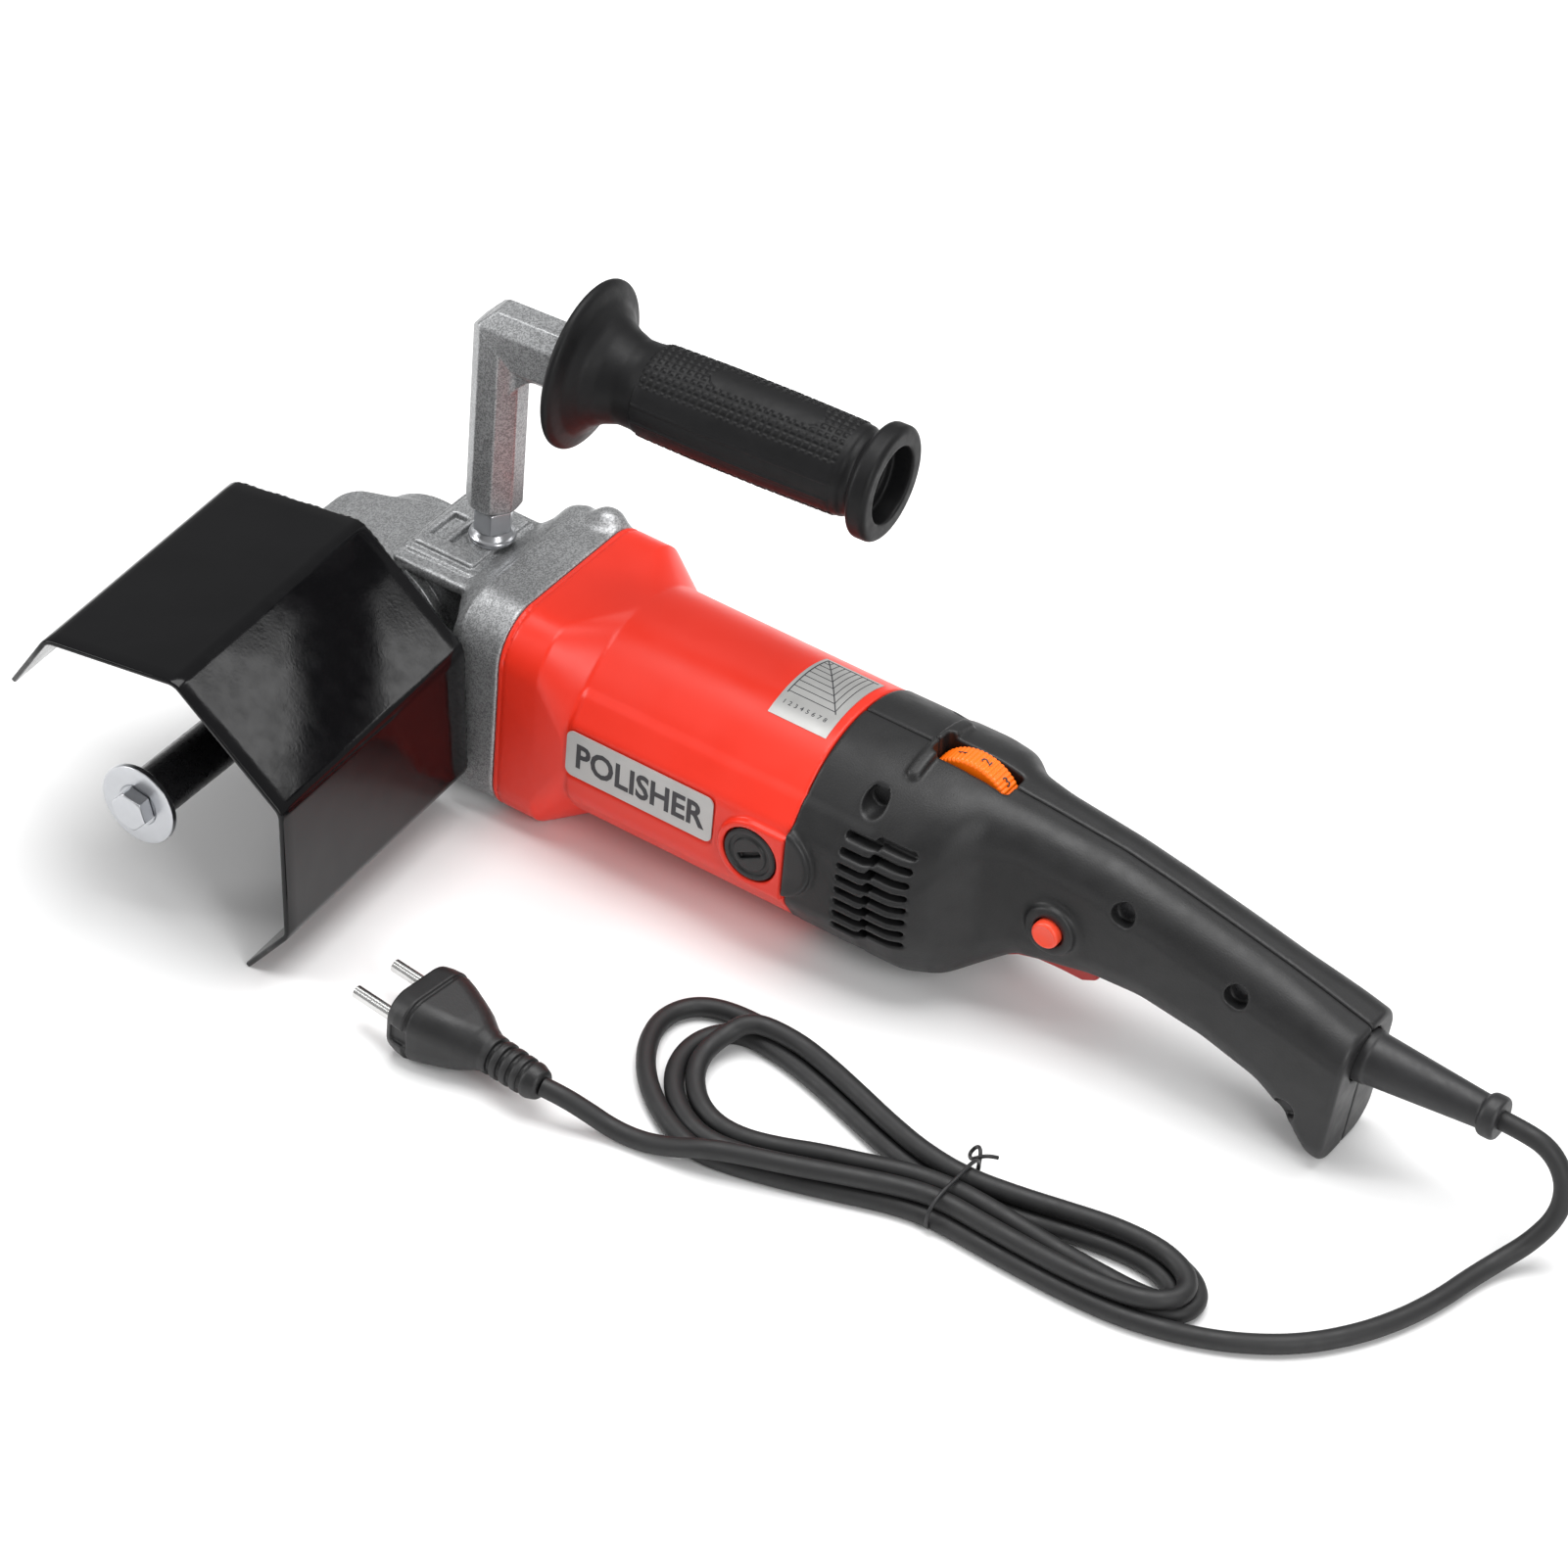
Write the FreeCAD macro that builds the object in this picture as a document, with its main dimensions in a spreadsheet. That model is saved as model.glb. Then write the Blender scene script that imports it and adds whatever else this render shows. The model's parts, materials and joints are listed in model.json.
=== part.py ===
"""Wheel polisher: a mains hand machine that drives a cylindrical polishing wheel on a side arbor.

Drawing axes: X runs along the motor axis from the gear head to the handle's tail, the arbor points
along -Y, and Z is up. The motor axis and the arbor axis cross at the drawing's zero point. Every
sub-part is drawn in these axes and then set down so that the model's own origin is the middle of
the machine's footprint on the surface that it stands on.
"""
import FreeCAD, Part
import math
import os
import re
import Sketcher

Vector = FreeCAD.Vector
Rotation = FreeCAD.Rotation
Placement = FreeCAD.Placement

doc = FreeCAD.newDocument("WheelPolisher")

# ---------------------------------------------------------------- driving dimensions (mm, degrees)
SIZES = {
    # set-down point
    "floor_drop": 44.0, "middle_along": 198.65, "middle_across": -59.06,
    # motor housing
    "bell_half": 44.0, "bell_corner": 19.0, "barrel_radius": 43.5, "shell": 3.0,
    "flange_front": 56.0, "bell_front": 70.0, "bell_back": 88.0, "barrel_front": 100.0,
    "joint": 194.0, "seat_wall": 4.0,
    # gear head
    "drum_radius": 35.0, "drum_back": 34.0, "drum_face": 30.0, "chamber_radius": 30.5,
    "pad_front": 15.0, "pad_back": 40.0, "pad_top": 41.0, "pad_half": 18.0,
    # bevel gears
    "pinion_teeth": 11.0, "crown_teeth": 37.0, "tooth_module": 1.5,
    # spindle and arbor, measured outwards from the motor axis
    "cover_radius": 38.0, "cover_face": 38.0, "neck_radius": 24.0, "neck_end": 52.5,
    "spindle_back": 31.8, "spindle_radius": 8.5, "spindle_tip": 150.0, "tip_radius": 6.0,
    "wheel_start": 54.0, "wheel_width": 100.0, "arbor_radius": 9.5, "backing_radius": 16.0,
    "backing_thick": 1.4, "washer_radius": 15.5, "washer_thick": 2.5, "bolt_flats": 13.0,
    "bolt_head": 5.5, "bolt_radius": 4.0, "bolt_length": 30.0,
    # guard
    "guard_sheet": 2.0, "guard_bend": 5.0, "guard_start": 50.0, "guard_depth": 112.0,
    "guard_turn": 3.0, "guard_lip_along": -53.9, "guard_lip_high": 35.83, "guard_plate": 2.5,
    "clamp_radius": 27.5,
    # armature, measured along the motor axis
    "armature_radius": 6.0, "armature_tip": 13.0, "armature_end": 207.0,
    "core_front": 100.0, "core_back": 148.0, "core_radius": 22.5, "air_gap": 0.7,
    "stator_radius": 38.0, "fan_front": 74.0, "fan_back": 85.0, "fan_radius": 35.0,
    "commutator_front": 169.0, "commutator_back": 190.0, "commutator_radius": 14.0,
    "brush_along": 180.0, "cap_radius": 10.6, "boss_face": 46.0,
    # ball bearings
    "ring": 2.6,
    # rear handle
    "handle_tail": 400.0, "tail_lean": 9.0,
    "dial_along": 240.0, "dial_high": 28.3, "dial_radius": 17.5, "dial_half": 4.6,
    "button_along": 286.0, "button_high": 6.0, "button_radius": 5.3, "boss_radius": 10.0,
    "trigger_front": 262.0, "trigger_back": 301.0,
    "sleeve_high": -0.5, "sleeve_root": 10.0, "sleeve_end": 452.0,
    # side handle
    "stud_along": 35.0, "stud_radius": 4.0, "bar_flats": 19.0, "bar_foot": 56.0,
    "grip_high": 131.0, "arm_length": 32.0, "grip_length": 123.0, "grip_turn": 4.0,
    "disc_radius": 31.0, "grip_radius": 16.5, "ring_radius": 21.0,
    # mains lead
    "cord_radius": 3.5, "hank_high": 15.0, "pin_gap": 19.0, "pin_length": 19.0, "pin_radius": 2.4,
    "plug_turn": -6.5, "plug_high": 13.0,
}

sheet = doc.addObject("Spreadsheet::Sheet", "Sizes")
for row, (alias, number) in enumerate(SIZES.items(), 1):
    sheet.set(f"A{row}", alias)
    sheet.set(f"B{row}", str(number))
    sheet.setAlias(f"B{row}", alias)
doc.recompute()

WORD = re.compile(r"[a-z][a-z_0-9]*")


def linked(rule):
    """The rule, such as 'bell_half - shell', as an expression on the sheet's cells."""
    return WORD.sub(lambda found: "Sizes." + found.group(0), str(rule))


def size(rule):
    """The rule's present value as a plain number."""
    return float(sheet.evalExpression(linked(rule)))


def bind(thing, **rules):
    """Tie each named property of the thing to a rule on the sheet."""
    for name, rule in rules.items():
        thing.setExpression(name.replace("__", "."), linked(rule))
    return thing


# ---------------------------------------------------------------- setting pieces down
ALONG_X = Rotation()
ALONG_ARBOR = Rotation(Vector(0, 0, 1), -90)
ALONG_Y = Rotation(Vector(0, 0, 1), 90)
ALONG_Z = Rotation(Vector(0, 1, 0), -90)
nodes = []


def keep(thing, label, turn=ALONG_X, at=("0", "0", "0")):
    """Name a finished sub-part and set it down, turned about and moved to a place on the machine."""
    thing.Label = label
    thing.Placement = Placement(Vector(), turn)
    bind(thing, Placement__Base__x=f"{at[0]} - middle_along",
         Placement__Base__y=f"{at[1]} - middle_across",
         Placement__Base__z=f"{at[2]} + floor_drop")
    nodes.append(thing)
    return thing


# ---------------------------------------------------------------- sketches and features in a body
def new_body(name):
    return doc.addObject("PartDesign::Body", name)


def new_sketch(body, name, role, offset):
    """An empty sketch on one of the body's own planes, raised off it by the offset."""
    sketch = body.newObject("Sketcher::SketchObject", name)
    plane = next(part for part in body.Origin.OriginFeatures if part.Role == role)
    sketch.AttachmentSupport = [(plane, "")]
    sketch.MapMode = "FlatFace"
    bind(sketch, AttachmentOffset__Base__z=offset)
    return sketch


def pin(sketch, edge, end, across, up):
    """Hold one end of an edge at a place given by two rules; an empty rule leaves that way free."""
    for kind, rule in (("DistanceX", across), ("DistanceY", up)):
        if rule != "":
            index = sketch.addConstraint(Sketcher.Constraint(kind, -1, 1, edge, end, size(rule)))
            sketch.setExpression(f"Constraints[{index}]", linked(rule))


def outline(sketch, points):
    """A closed outline of straight edges whose corners are pairs of rules."""
    corners = [Vector(size(across), size(up), 0) for across, up in points]
    count = len(corners)
    for index, corner in enumerate(corners):
        sketch.addGeometry(Part.LineSegment(corner, corners[(index + 1) % count]), False)
    for index in range(count):
        sketch.addConstraint(Sketcher.Constraint("Coincident", index, 2, (index + 1) % count, 1))
    for index, (across, up) in enumerate(points):
        pin(sketch, index, 1, across, up)
    return sketch


def rounded_box(sketch, left, right, low, high, corner):
    """A rectangle with round corners, from rules for its four sides and its corner radius."""
    a, b, c, d, r = (size(rule) for rule in (left, right, low, high, corner))
    spots = [((a + r, c), (b - r, c)), ((b, c + r), (b, d - r)),
             ((b - r, d), (a + r, d)), ((a, d - r), (a, c + r))]
    centres = [(b - r, c + r), (b - r, d - r), (a + r, d - r), (a + r, c + r)]
    for side in range(4):
        start, end = (Vector(*spot, 0) for spot in spots[side])
        sketch.addGeometry(Part.LineSegment(start, end), False)
        circle = Part.Circle(Vector(*centres[side], 0), Vector(0, 0, 1), r)
        first = math.radians(-90 + 90 * side)
        sketch.addGeometry(Part.ArcOfCircle(circle, first, first + math.pi / 2), False)
    for index in range(8):
        sketch.addConstraint(Sketcher.Constraint("Tangent", index, 2, (index + 1) % 8, 1))
    for line, way in ((0, "Horizontal"), (2, "Vertical"), (4, "Horizontal"), (6, "Vertical")):
        sketch.addConstraint(Sketcher.Constraint(way, line))
    for arc in (3, 5, 7):
        sketch.addConstraint(Sketcher.Constraint("Equal", 1, arc))
    index = sketch.addConstraint(Sketcher.Constraint("Radius", 1, r))
    sketch.setExpression(f"Constraints[{index}]", linked(corner))
    pin(sketch, 6, 1, left, "")
    pin(sketch, 2, 1, right, "")
    pin(sketch, 0, 1, "", low)
    pin(sketch, 4, 1, "", high)
    return sketch


def block(body, kind, name, x, y, z):
    """A box added to or taken from the body ('Additive' or 'Subtractive'), from rule pairs."""
    box = body.newObject(f"PartDesign::{kind}Box", name)
    bind(box, Length=f"({x[1]}) - ({x[0]})", Width=f"({y[1]}) - ({y[0]})", Height=f"({z[1]}) - ({z[0]})",
         Placement__Base__x=x[0], Placement__Base__y=y[0], Placement__Base__z=z[0])
    return box


def drum(body, kind, name, turn, start, radius, length):
    """A round bar or bore in the body, running from its start along the turned X axis."""
    bar = body.newObject(f"PartDesign::{kind}Cylinder", name)
    bar.Placement = Placement(Vector(), turn.multiply(Rotation(Vector(0, 1, 0), 90)))
    bind(bar, Radius=radius, Height=length, Placement__Base__x=start[0],
         Placement__Base__y=start[1], Placement__Base__z=start[2])
    return bar


def revolve(body, name, points, kind="Revolution", angle=360):
    """Turn a closed outline of (distance along, radius) rules about the body's X axis."""
    sketch = outline(new_sketch(body, name + "_profile", "XZ_Plane", "0"), points)
    feature = body.newObject(f"PartDesign::{kind}", name)
    feature.Profile = sketch
    feature.ReferenceAxis = (sketch, ["H_Axis"])
    feature.Angle = angle
    return feature


def turned(label, points, turn=ALONG_X, at=("0", "0", "0")):
    """A piece made wholly on a lathe, kept as a node."""
    body = new_body(label)
    revolve(body, label + "_turning", points)
    return keep(body, label, turn, at)


def tube(start, end, inner, outer):
    """The lathe outline of a plain ring or sleeve."""
    return [(start, inner), (end, inner), (end, outer), (start, outer)]


def group(label, members, turn=ALONG_X, at=("0", "0", "0")):
    """Several separate solids of one kind, kept together as one node."""
    bundle = doc.addObject("Part::Compound", label)
    bundle.Links = members
    return keep(bundle, label, turn, at)


def bar(name, turn, start, radius, length):
    """A plain Part cylinder, running from its start along the turned X axis."""
    cylinder = doc.addObject("Part::Cylinder", name)
    cylinder.Placement = Placement(Vector(*(size(rule) for rule in start)),
                                   turn.multiply(Rotation(Vector(0, 1, 0), 90)))
    return bind(cylinder, Radius=radius, Height=length)


def hexagon(name, turn, start, flats, length, sides=6):
    """A prism with the given width across its flats, running along the turned X axis."""
    prism = doc.addObject("Part::Prism", name)
    prism.Polygon = sides
    prism.Placement = Placement(Vector(*(size(rule) for rule in start)),
                                turn.multiply(Rotation(Vector(0, 1, 0), 90)))
    prism.setExpression("Circumradius", f"{linked(flats)} / 2 / cos({180 / sides})")
    return bind(prism, Height=length)


def fused(name, members):
    joined = doc.addObject("Part::MultiFuse", name)
    joined.Shapes = members
    return joined


def cut(name, base, tool):
    less = doc.addObject("Part::Cut", name)
    less.Base = base
    less.Tool = tool
    return less


def screws(label, starts, turn, radius, length, head_radius, head_length):
    """Equal cheese-head screws: each start is where its shank begins under the head."""
    made = []
    for number, start in enumerate(starts, 1):
        shank = bar(f"{label}_shank_{number}", turn, start, radius, length)
        back = turn.multVec(Vector(-size(head_length), 0, 0))
        corner = [f"{rule} + ({way:.4f})" for rule, way in zip(start, back)]
        head = bar(f"{label}_head_{number}", turn, corner, head_radius, head_length)
        made.append(fused(f"{label}_{number}", [head, shank]))
    return group(label, made)


# ---------------------------------------------------------------- gear head, cover and guard
FLANGE_CORNERS = [(f"{side} * 34.5", f"{level} * 34.5") for side in (-1, 1) for level in (-1, 1)]
COVER_CORNERS = [(f"{side} * 23.15", f"{level} * 23.15") for side in (-1, 1) for level in (-1, 1)]
GUARD_RUNS = [(27, 60), (54, 7), (56.5, -39), (53, -86), (26, -127)]


def gear_head():
    """Die-cast head: gear drum across the motor axis, a neck to the square flange, and a top pad."""
    body = new_body("gear_head")
    flange = body.newObject("PartDesign::Pad", "flange")
    flange.Profile = rounded_box(new_sketch(body, "flange_outline", "YZ_Plane", "flange_front"),
                                 "-bell_half", "bell_half", "-bell_half", "bell_half", "bell_corner")
    bind(flange, Length="bell_front - flange_front")
    neck = body.newObject("PartDesign::AdditiveLoft", "neck")
    neck.Profile = rounded_box(new_sketch(body, "neck_back", "YZ_Plane", "flange_front"),
                               "1 - bell_half", "bell_half - 1", "1 - bell_half", "bell_half - 1", "18")
    neck.Sections = [
        rounded_box(new_sketch(body, "neck_middle", "YZ_Plane", "stud_along"),
                    "1 - drum_face", "drum_back + 2", "-drum_radius - 3", "drum_radius + 3", "12"),
        rounded_box(new_sketch(body, "neck_front", "YZ_Plane", "-2"),
                    "1 - drum_face", "drum_back - 1", "0.6 - drum_radius", "drum_radius - 0.6", "8")]
    neck.Ruled = True
    drum(body, "Additive", "gear_drum", ALONG_ARBOR, ("0", "drum_back", "0"), "drum_radius",
         "drum_back + drum_face")
    block(body, "Additive", "top_pad", ("pad_front", "pad_back"), ("-pad_half", "pad_half"),
          ("pad_top - 10", "pad_top"))
    for number, front in enumerate(("pad_front + 3", "pad_front + 13")):
        block(body, "Subtractive", f"pad_pocket_{number}", (front, f"{front} + 7"),
              ("-pad_half + 3", "-pad_half + 12"), ("pad_top - 3", "pad_top + 1"))
    drum(body, "Subtractive", "gear_chamber", ALONG_ARBOR, ("0", "23", "0"), "chamber_radius",
         "23 + drum_face + 1")
    drum(body, "Subtractive", "cover_space", ALONG_ARBOR, ("0", "-drum_face", "0"), "cover_radius", "20")
    drum(body, "Subtractive", "rear_bearing_seat", ALONG_Y, ("0", "22", "0"), "15", "10")
    drum(body, "Subtractive", "pinion_tunnel", ALONG_X, ("15", "0", "0"), "11", "28")
    drum(body, "Subtractive", "motor_bearing_seat", ALONG_X, ("42", "0", "0"), "14", "15")
    drum(body, "Subtractive", "flange_hollow", ALONG_X, ("56", "0", "0"), "36", "bell_front - 55")
    drum(body, "Subtractive", "stud_hole", ALONG_Z, ("stud_along", "0", "pad_top - 12"),
         "stud_radius", "20")
    for number, (across, up) in enumerate(FLANGE_CORNERS):
        drum(body, "Subtractive", f"flange_hole_{number}", ALONG_X, ("60", across, up), "2", "12")
        drum(body, "Subtractive", f"head_way_{number}", ALONG_X, ("38", across, up), "3.6", "23")
    for number, (along, up) in enumerate(COVER_CORNERS):
        drum(body, "Subtractive", f"cover_hole_{number}", ALONG_ARBOR, (along, "-drum_face + 13", up),
             "1.6", "14")
    keep(body, "gear_head")


def bearing_cover():
    """The cap that closes the gear drum, holds the arbor's bearing and carries the guard's neck."""
    body = new_body("bearing_cover")
    revolve(body, "cover_turning",
            [("drum_face", "20"), ("44", "20"), ("44", "spindle_radius + 1"),
             ("neck_end", "spindle_radius + 1"), ("neck_end", "neck_radius"), ("cover_face", "neck_radius"),
             ("cover_face", "cover_radius"), ("drum_face", "cover_radius")])
    for number, (along, up) in enumerate(COVER_CORNERS):
        drum(body, "Subtractive", f"cover_hole_{number}", ALONG_X, ("drum_face - 1", along, up),
             "1.6", "10")
    keep(body, "bearing_cover", ALONG_ARBOR)
    screws("bearing_cover_screws", [(along, "-cover_face", up) for along, up in COVER_CORNERS],
           ALONG_Y, "1.6", "18", "3", "2.5")


def guard_corners(offset):
    """Corners of the guard's outline, moved sideways off the sheet's middle by the offset."""
    turns = [GUARD_RUNS[0][1]] + [run[1] for run in GUARD_RUNS] + [GUARD_RUNS[-1][1]]
    along, high = size("guard_lip_along"), size("guard_lip_high")
    corners = []
    for index, (length, _) in enumerate(GUARD_RUNS + [(0, 0)]):
        before, after = math.radians(turns[index]), math.radians(turns[index + 1])
        middle, half = (before + after) / 2, (before - after) / 2
        reach = offset / math.cos(half)
        corners.append((f"{along - reach * math.sin(middle):.3f}",
                        f"{high + reach * math.cos(middle):.3f}"))
        along += length * math.cos(after)
        high += length * math.sin(after)
    return corners


def guard():
    """Folded sheet guard, open below and in front, with its end plate and the clamp round the neck."""
    outer, inner = (guard_corners(side * size("guard_sheet") / 2) for side in (1, -1))
    place = ("0", "-guard_start", "0")
    turn = Rotation(Vector(0, 0, 1), size("guard_turn"))
    body = new_body("wheel_guard")
    sheet_pad = body.newObject("PartDesign::Pad", "sheet")
    sheet_pad.Profile = outline(new_sketch(body, "fold_outline", "XZ_Plane", "0"), outer + inner[::-1])
    bind(sheet_pad, Length="guard_depth")
    doc.recompute()
    folds = []
    for number, edge in enumerate(sheet_pad.Shape.Edges, 1):
        middle = edge.BoundBox.Center
        lengthwise = edge.BoundBox.YLength > size("guard_depth") / 2
        at_end = any(math.hypot(middle.x - float(x), middle.z - float(z)) < 0.1
                     for x, z in (outer[0], inner[0], outer[-1], inner[-1]))
        if lengthwise and not at_end:
            folds.append(f"Edge{number}")
    rounding = body.newObject("PartDesign::Fillet", "folds")
    rounding.Base = (sheet_pad, folds)
    bind(rounding, Radius="guard_bend")
    keep(body, "wheel_guard", turn, place)
    body = new_body("guard_end_plate")
    plate = body.newObject("PartDesign::Pad", "plate")
    plate.Profile = outline(new_sketch(body, "plate_outline", "XZ_Plane", "0"), inner[:-1])
    bind(plate, Length="guard_plate")
    drum(body, "Additive", "plate_round", ALONG_ARBOR, ("0", "0", "0"), "cover_radius", "guard_plate")
    drum(body, "Subtractive", "neck_hole", ALONG_ARBOR, ("0", "1", "0"), "neck_radius + 1.5", "6")
    keep(body, "guard_end_plate", turn, place)
    body = new_body("guard_clamp")
    revolve(body, "clamp_turning",
            tube("cover_face + 2.5", "guard_start - 1.7", "neck_radius", "clamp_radius"))
    block(body, "Additive", "ears", ("cover_face + 3", "guard_start - 2.5"),
          ("clamp_radius - 2", "clamp_radius + 7"), ("-4.5", "4.5"))
    block(body, "Subtractive", "split", ("cover_face", "guard_start"),
          ("neck_radius - 1", "clamp_radius + 8"), ("-1", "1"))
    drum(body, "Subtractive", "screw_hole", ALONG_Z, ("cover_face + 6", "clamp_radius + 3.5", "-6"),
         "1.9", "12")
    keep(body, "guard_clamp", ALONG_ARBOR)
    screws("guard_clamp_screw", [("clamp_radius + 3.5", "-cover_face - 6", "4.5")],
           Rotation(Vector(0, 1, 0), 90), "1.9", "12", "3", "2.6")


# ---------------------------------------------------------------- bevel gears
def bevel_gear(label, teeth, mate, hub, phase, turn):
    """A straight bevel gear whose cone comes to a point at the drawing's zero, along local +X."""
    module, own, other = size("tooth_module"), size(teeth), size(mate)
    slope = math.atan2(own, other)
    reach = module * math.hypot(own, other) / 2
    inner_share = 0.7
    pitch = math.pi * module

    def spot(distance, raised, aside):
        """A point by its distance along the pitch cone, height over it and distance to one side."""
        return Vector(distance * math.cos(slope) - raised * math.sin(slope),
                      distance * math.sin(slope) + raised * math.cos(slope), aside)

    def tooth_wire(share):
        root, tip, deep, high = 0.28 * pitch, 0.13 * pitch, -1.4 * module, 0.75 * module
        ends = [(deep, -root), (high, -tip), (high, tip), (deep, root)]
        corners = [spot(reach * share, raised * share, aside * share) for raised, aside in ends]
        return Part.makePolygon(corners + corners[:1])

    tooth = Part.makeLoft([tooth_wire(1.0), tooth_wire(inner_share)], True, True)
    root_out, root_in = (spot(reach * share, -1.05 * module * share, 0) for share in (1.0, inner_share))
    bore, hub_radius, hub_back = hub
    heel = root_out + Vector(2.5 * math.sin(slope), -2.5 * math.cos(slope), 0)
    points = [Vector(root_in.x, bore, 0), root_in, root_out, heel, Vector(heel.x, hub_radius, 0),
              Vector(hub_back, hub_radius, 0), Vector(hub_back, bore, 0)]
    blank = Part.Face(Part.makePolygon(points + points[:1])).revolve(Vector(), Vector(1, 0, 0), 360)
    teeth_made = []
    for number in range(int(own)):
        copy = tooth.copy()
        copy.rotate(Vector(), Vector(1, 0, 0), phase + 360 * number / own)
        teeth_made.append(copy)
    gear = doc.addObject("Part::Feature", label)
    gear.Shape = blank.multiFuse(teeth_made).removeSplitter()
    keep(gear, label, turn)


# ---------------------------------------------------------------- spindle
def bearing(name, start, width, bore, outer, turn):
    """A ball bearing's two rings as nodes; its balls are returned for the shared group."""
    turned(f"{name}_outer_ring", tube(start, f"{start} + {width}", f"{outer} - ring", outer), turn)
    turned(f"{name}_inner_ring", tube(start, f"{start} + {width}", bore, f"{bore} + ring"), turn)
    count = 8
    track = (size(bore) + size(outer)) / 2
    balls = []
    for number in range(count):
        ball = doc.addObject("Part::Sphere", f"{name}_ball_{number}")
        bind(ball, Radius=f"({outer} - {bore}) / 2 - ring - 0.03")
        around = math.radians(360 * number / count)
        spot = Vector(size(start) + size(width) / 2, track * math.cos(around), track * math.sin(around))
        ball.Placement = Placement(turn.multVec(spot), Rotation())
        balls.append(ball)
    return balls


def spindle():
    """Everything that spins with the arbor."""
    end = "wheel_start + wheel_width"
    turned("spindle_shaft",
           [("-spindle_back", "0"), ("spindle_tip", "0"), ("spindle_tip", "tip_radius"),
            ("wheel_start - backing_thick", "tip_radius"),
            ("wheel_start - backing_thick", "spindle_radius"), ("-20", "spindle_radius"),
            ("-20", "5"), ("-spindle_back", "5")], ALONG_ARBOR)
    shaft = doc.getObject("spindle_shaft")
    drum(shaft, "Subtractive", "bolt_thread", ALONG_X, (f"{end} - bolt_length - 1", "0", "0"),
         "bolt_radius", "bolt_length + 2")
    turned("arbor_backing_washer",
           tube("wheel_start - backing_thick", "wheel_start", "tip_radius", "backing_radius"), ALONG_ARBOR)
    turned("arbor_sleeve", tube("wheel_start", end, "tip_radius", "arbor_radius"), ALONG_ARBOR)
    turned("arbor_end_washer", tube(end, f"{end} + washer_thick", "bolt_radius", "washer_radius"),
           ALONG_ARBOR)
    face = f"-({end} + washer_thick)"
    head = hexagon("bolt_hexagon", ALONG_ARBOR, ("0", face, "0"), "bolt_flats", "bolt_head")
    shank = bar("bolt_shank", ALONG_Y, ("0", face, "0"), "bolt_radius", "bolt_length")
    keep(fused("arbor_bolt", [head, shank]), "arbor_bolt")
    bevel_gear("crown_gear", "crown_teeth", "pinion_teeth", (8.5, 13.0, 19.5), 0.0, ALONG_Y)


# ---------------------------------------------------------------- armature
def armature():
    """Everything that spins with the motor shaft."""
    turned("armature_shaft",
           [("armature_tip", "0"), ("armature_end", "0"), ("armature_end", "4"), ("joint", "4"),
            ("joint", "armature_radius"), ("41", "armature_radius"), ("41", "5"),
            ("18", "5"), ("18", "3"), ("armature_tip", "3")])
    bevel_gear("bevel_pinion", "pinion_teeth", "crown_teeth", (5.0, 7.0, 40.0), 0.0, ALONG_X)
    nut = hexagon("pinion_nut_hexagon", ALONG_X, ("14.5", "0", "0"), "8", "3.3")
    bore = bar("pinion_nut_bore", ALONG_X, ("14", "0", "0"), "3", "4.5")
    keep(cut("pinion_nut", nut, bore), "pinion_nut")
    fan = new_body("cooling_fan")
    revolve(fan, "fan_turning",
            [("fan_front", "armature_radius"), ("fan_back", "armature_radius"), ("fan_back", "11"),
             ("fan_front + 2", "12"), ("fan_front + 2", "fan_radius"), ("fan_front", "fan_radius")])
    blade = block(fan, "Additive", "blade", ("fan_front + 1", "fan_back"), ("14", "fan_radius"),
                  ("-1", "1"))
    pattern = fan.newObject("PartDesign::PolarPattern", "blades")
    pattern.Originals = [blade]
    pattern.Axis = (next(part for part in fan.Origin.OriginFeatures if part.Role == "X_Axis"), [""])
    pattern.Angle = 360
    pattern.Occurrences = 14
    fan.Tip = pattern
    keep(fan, "cooling_fan")
    core = new_body("armature_core")
    revolve(core, "core_turning", tube("core_front", "core_back", "armature_radius", "core_radius"))
    slot = block(core, "Subtractive", "slot", ("core_front - 1", "core_back + 1"),
                 ("core_radius - 7", "core_radius + 1"), ("-1.4", "1.4"))
    slots = core.newObject("PartDesign::PolarPattern", "slots")
    slots.Originals = [slot]
    slots.Axis = (next(part for part in core.Origin.OriginFeatures if part.Role == "X_Axis"), [""])
    slots.Angle = 360
    slots.Occurrences = 12
    core.Tip = slots
    keep(core, "armature_core")
    ends = []
    for name, start, length in (("front", "core_front - 9", "9"), ("rear", "core_back", "11")):
        ring = bar(f"winding_{name}_outer", ALONG_X, (start, "0", "0"), "core_radius - 3", length)
        hole = bar(f"winding_{name}_hole", ALONG_X, (f"{start} - 1", "0", "0"), "armature_radius",
                   f"{length} + 2")
        ends.append(cut(f"winding_{name}", ring, hole))
    group("armature_windings", ends)
    bars = new_body("commutator")
    revolve(bars, "commutator_turning",
            tube("commutator_front", "commutator_back", "armature_radius", "commutator_radius"))
    keep(bars, "commutator")


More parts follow.
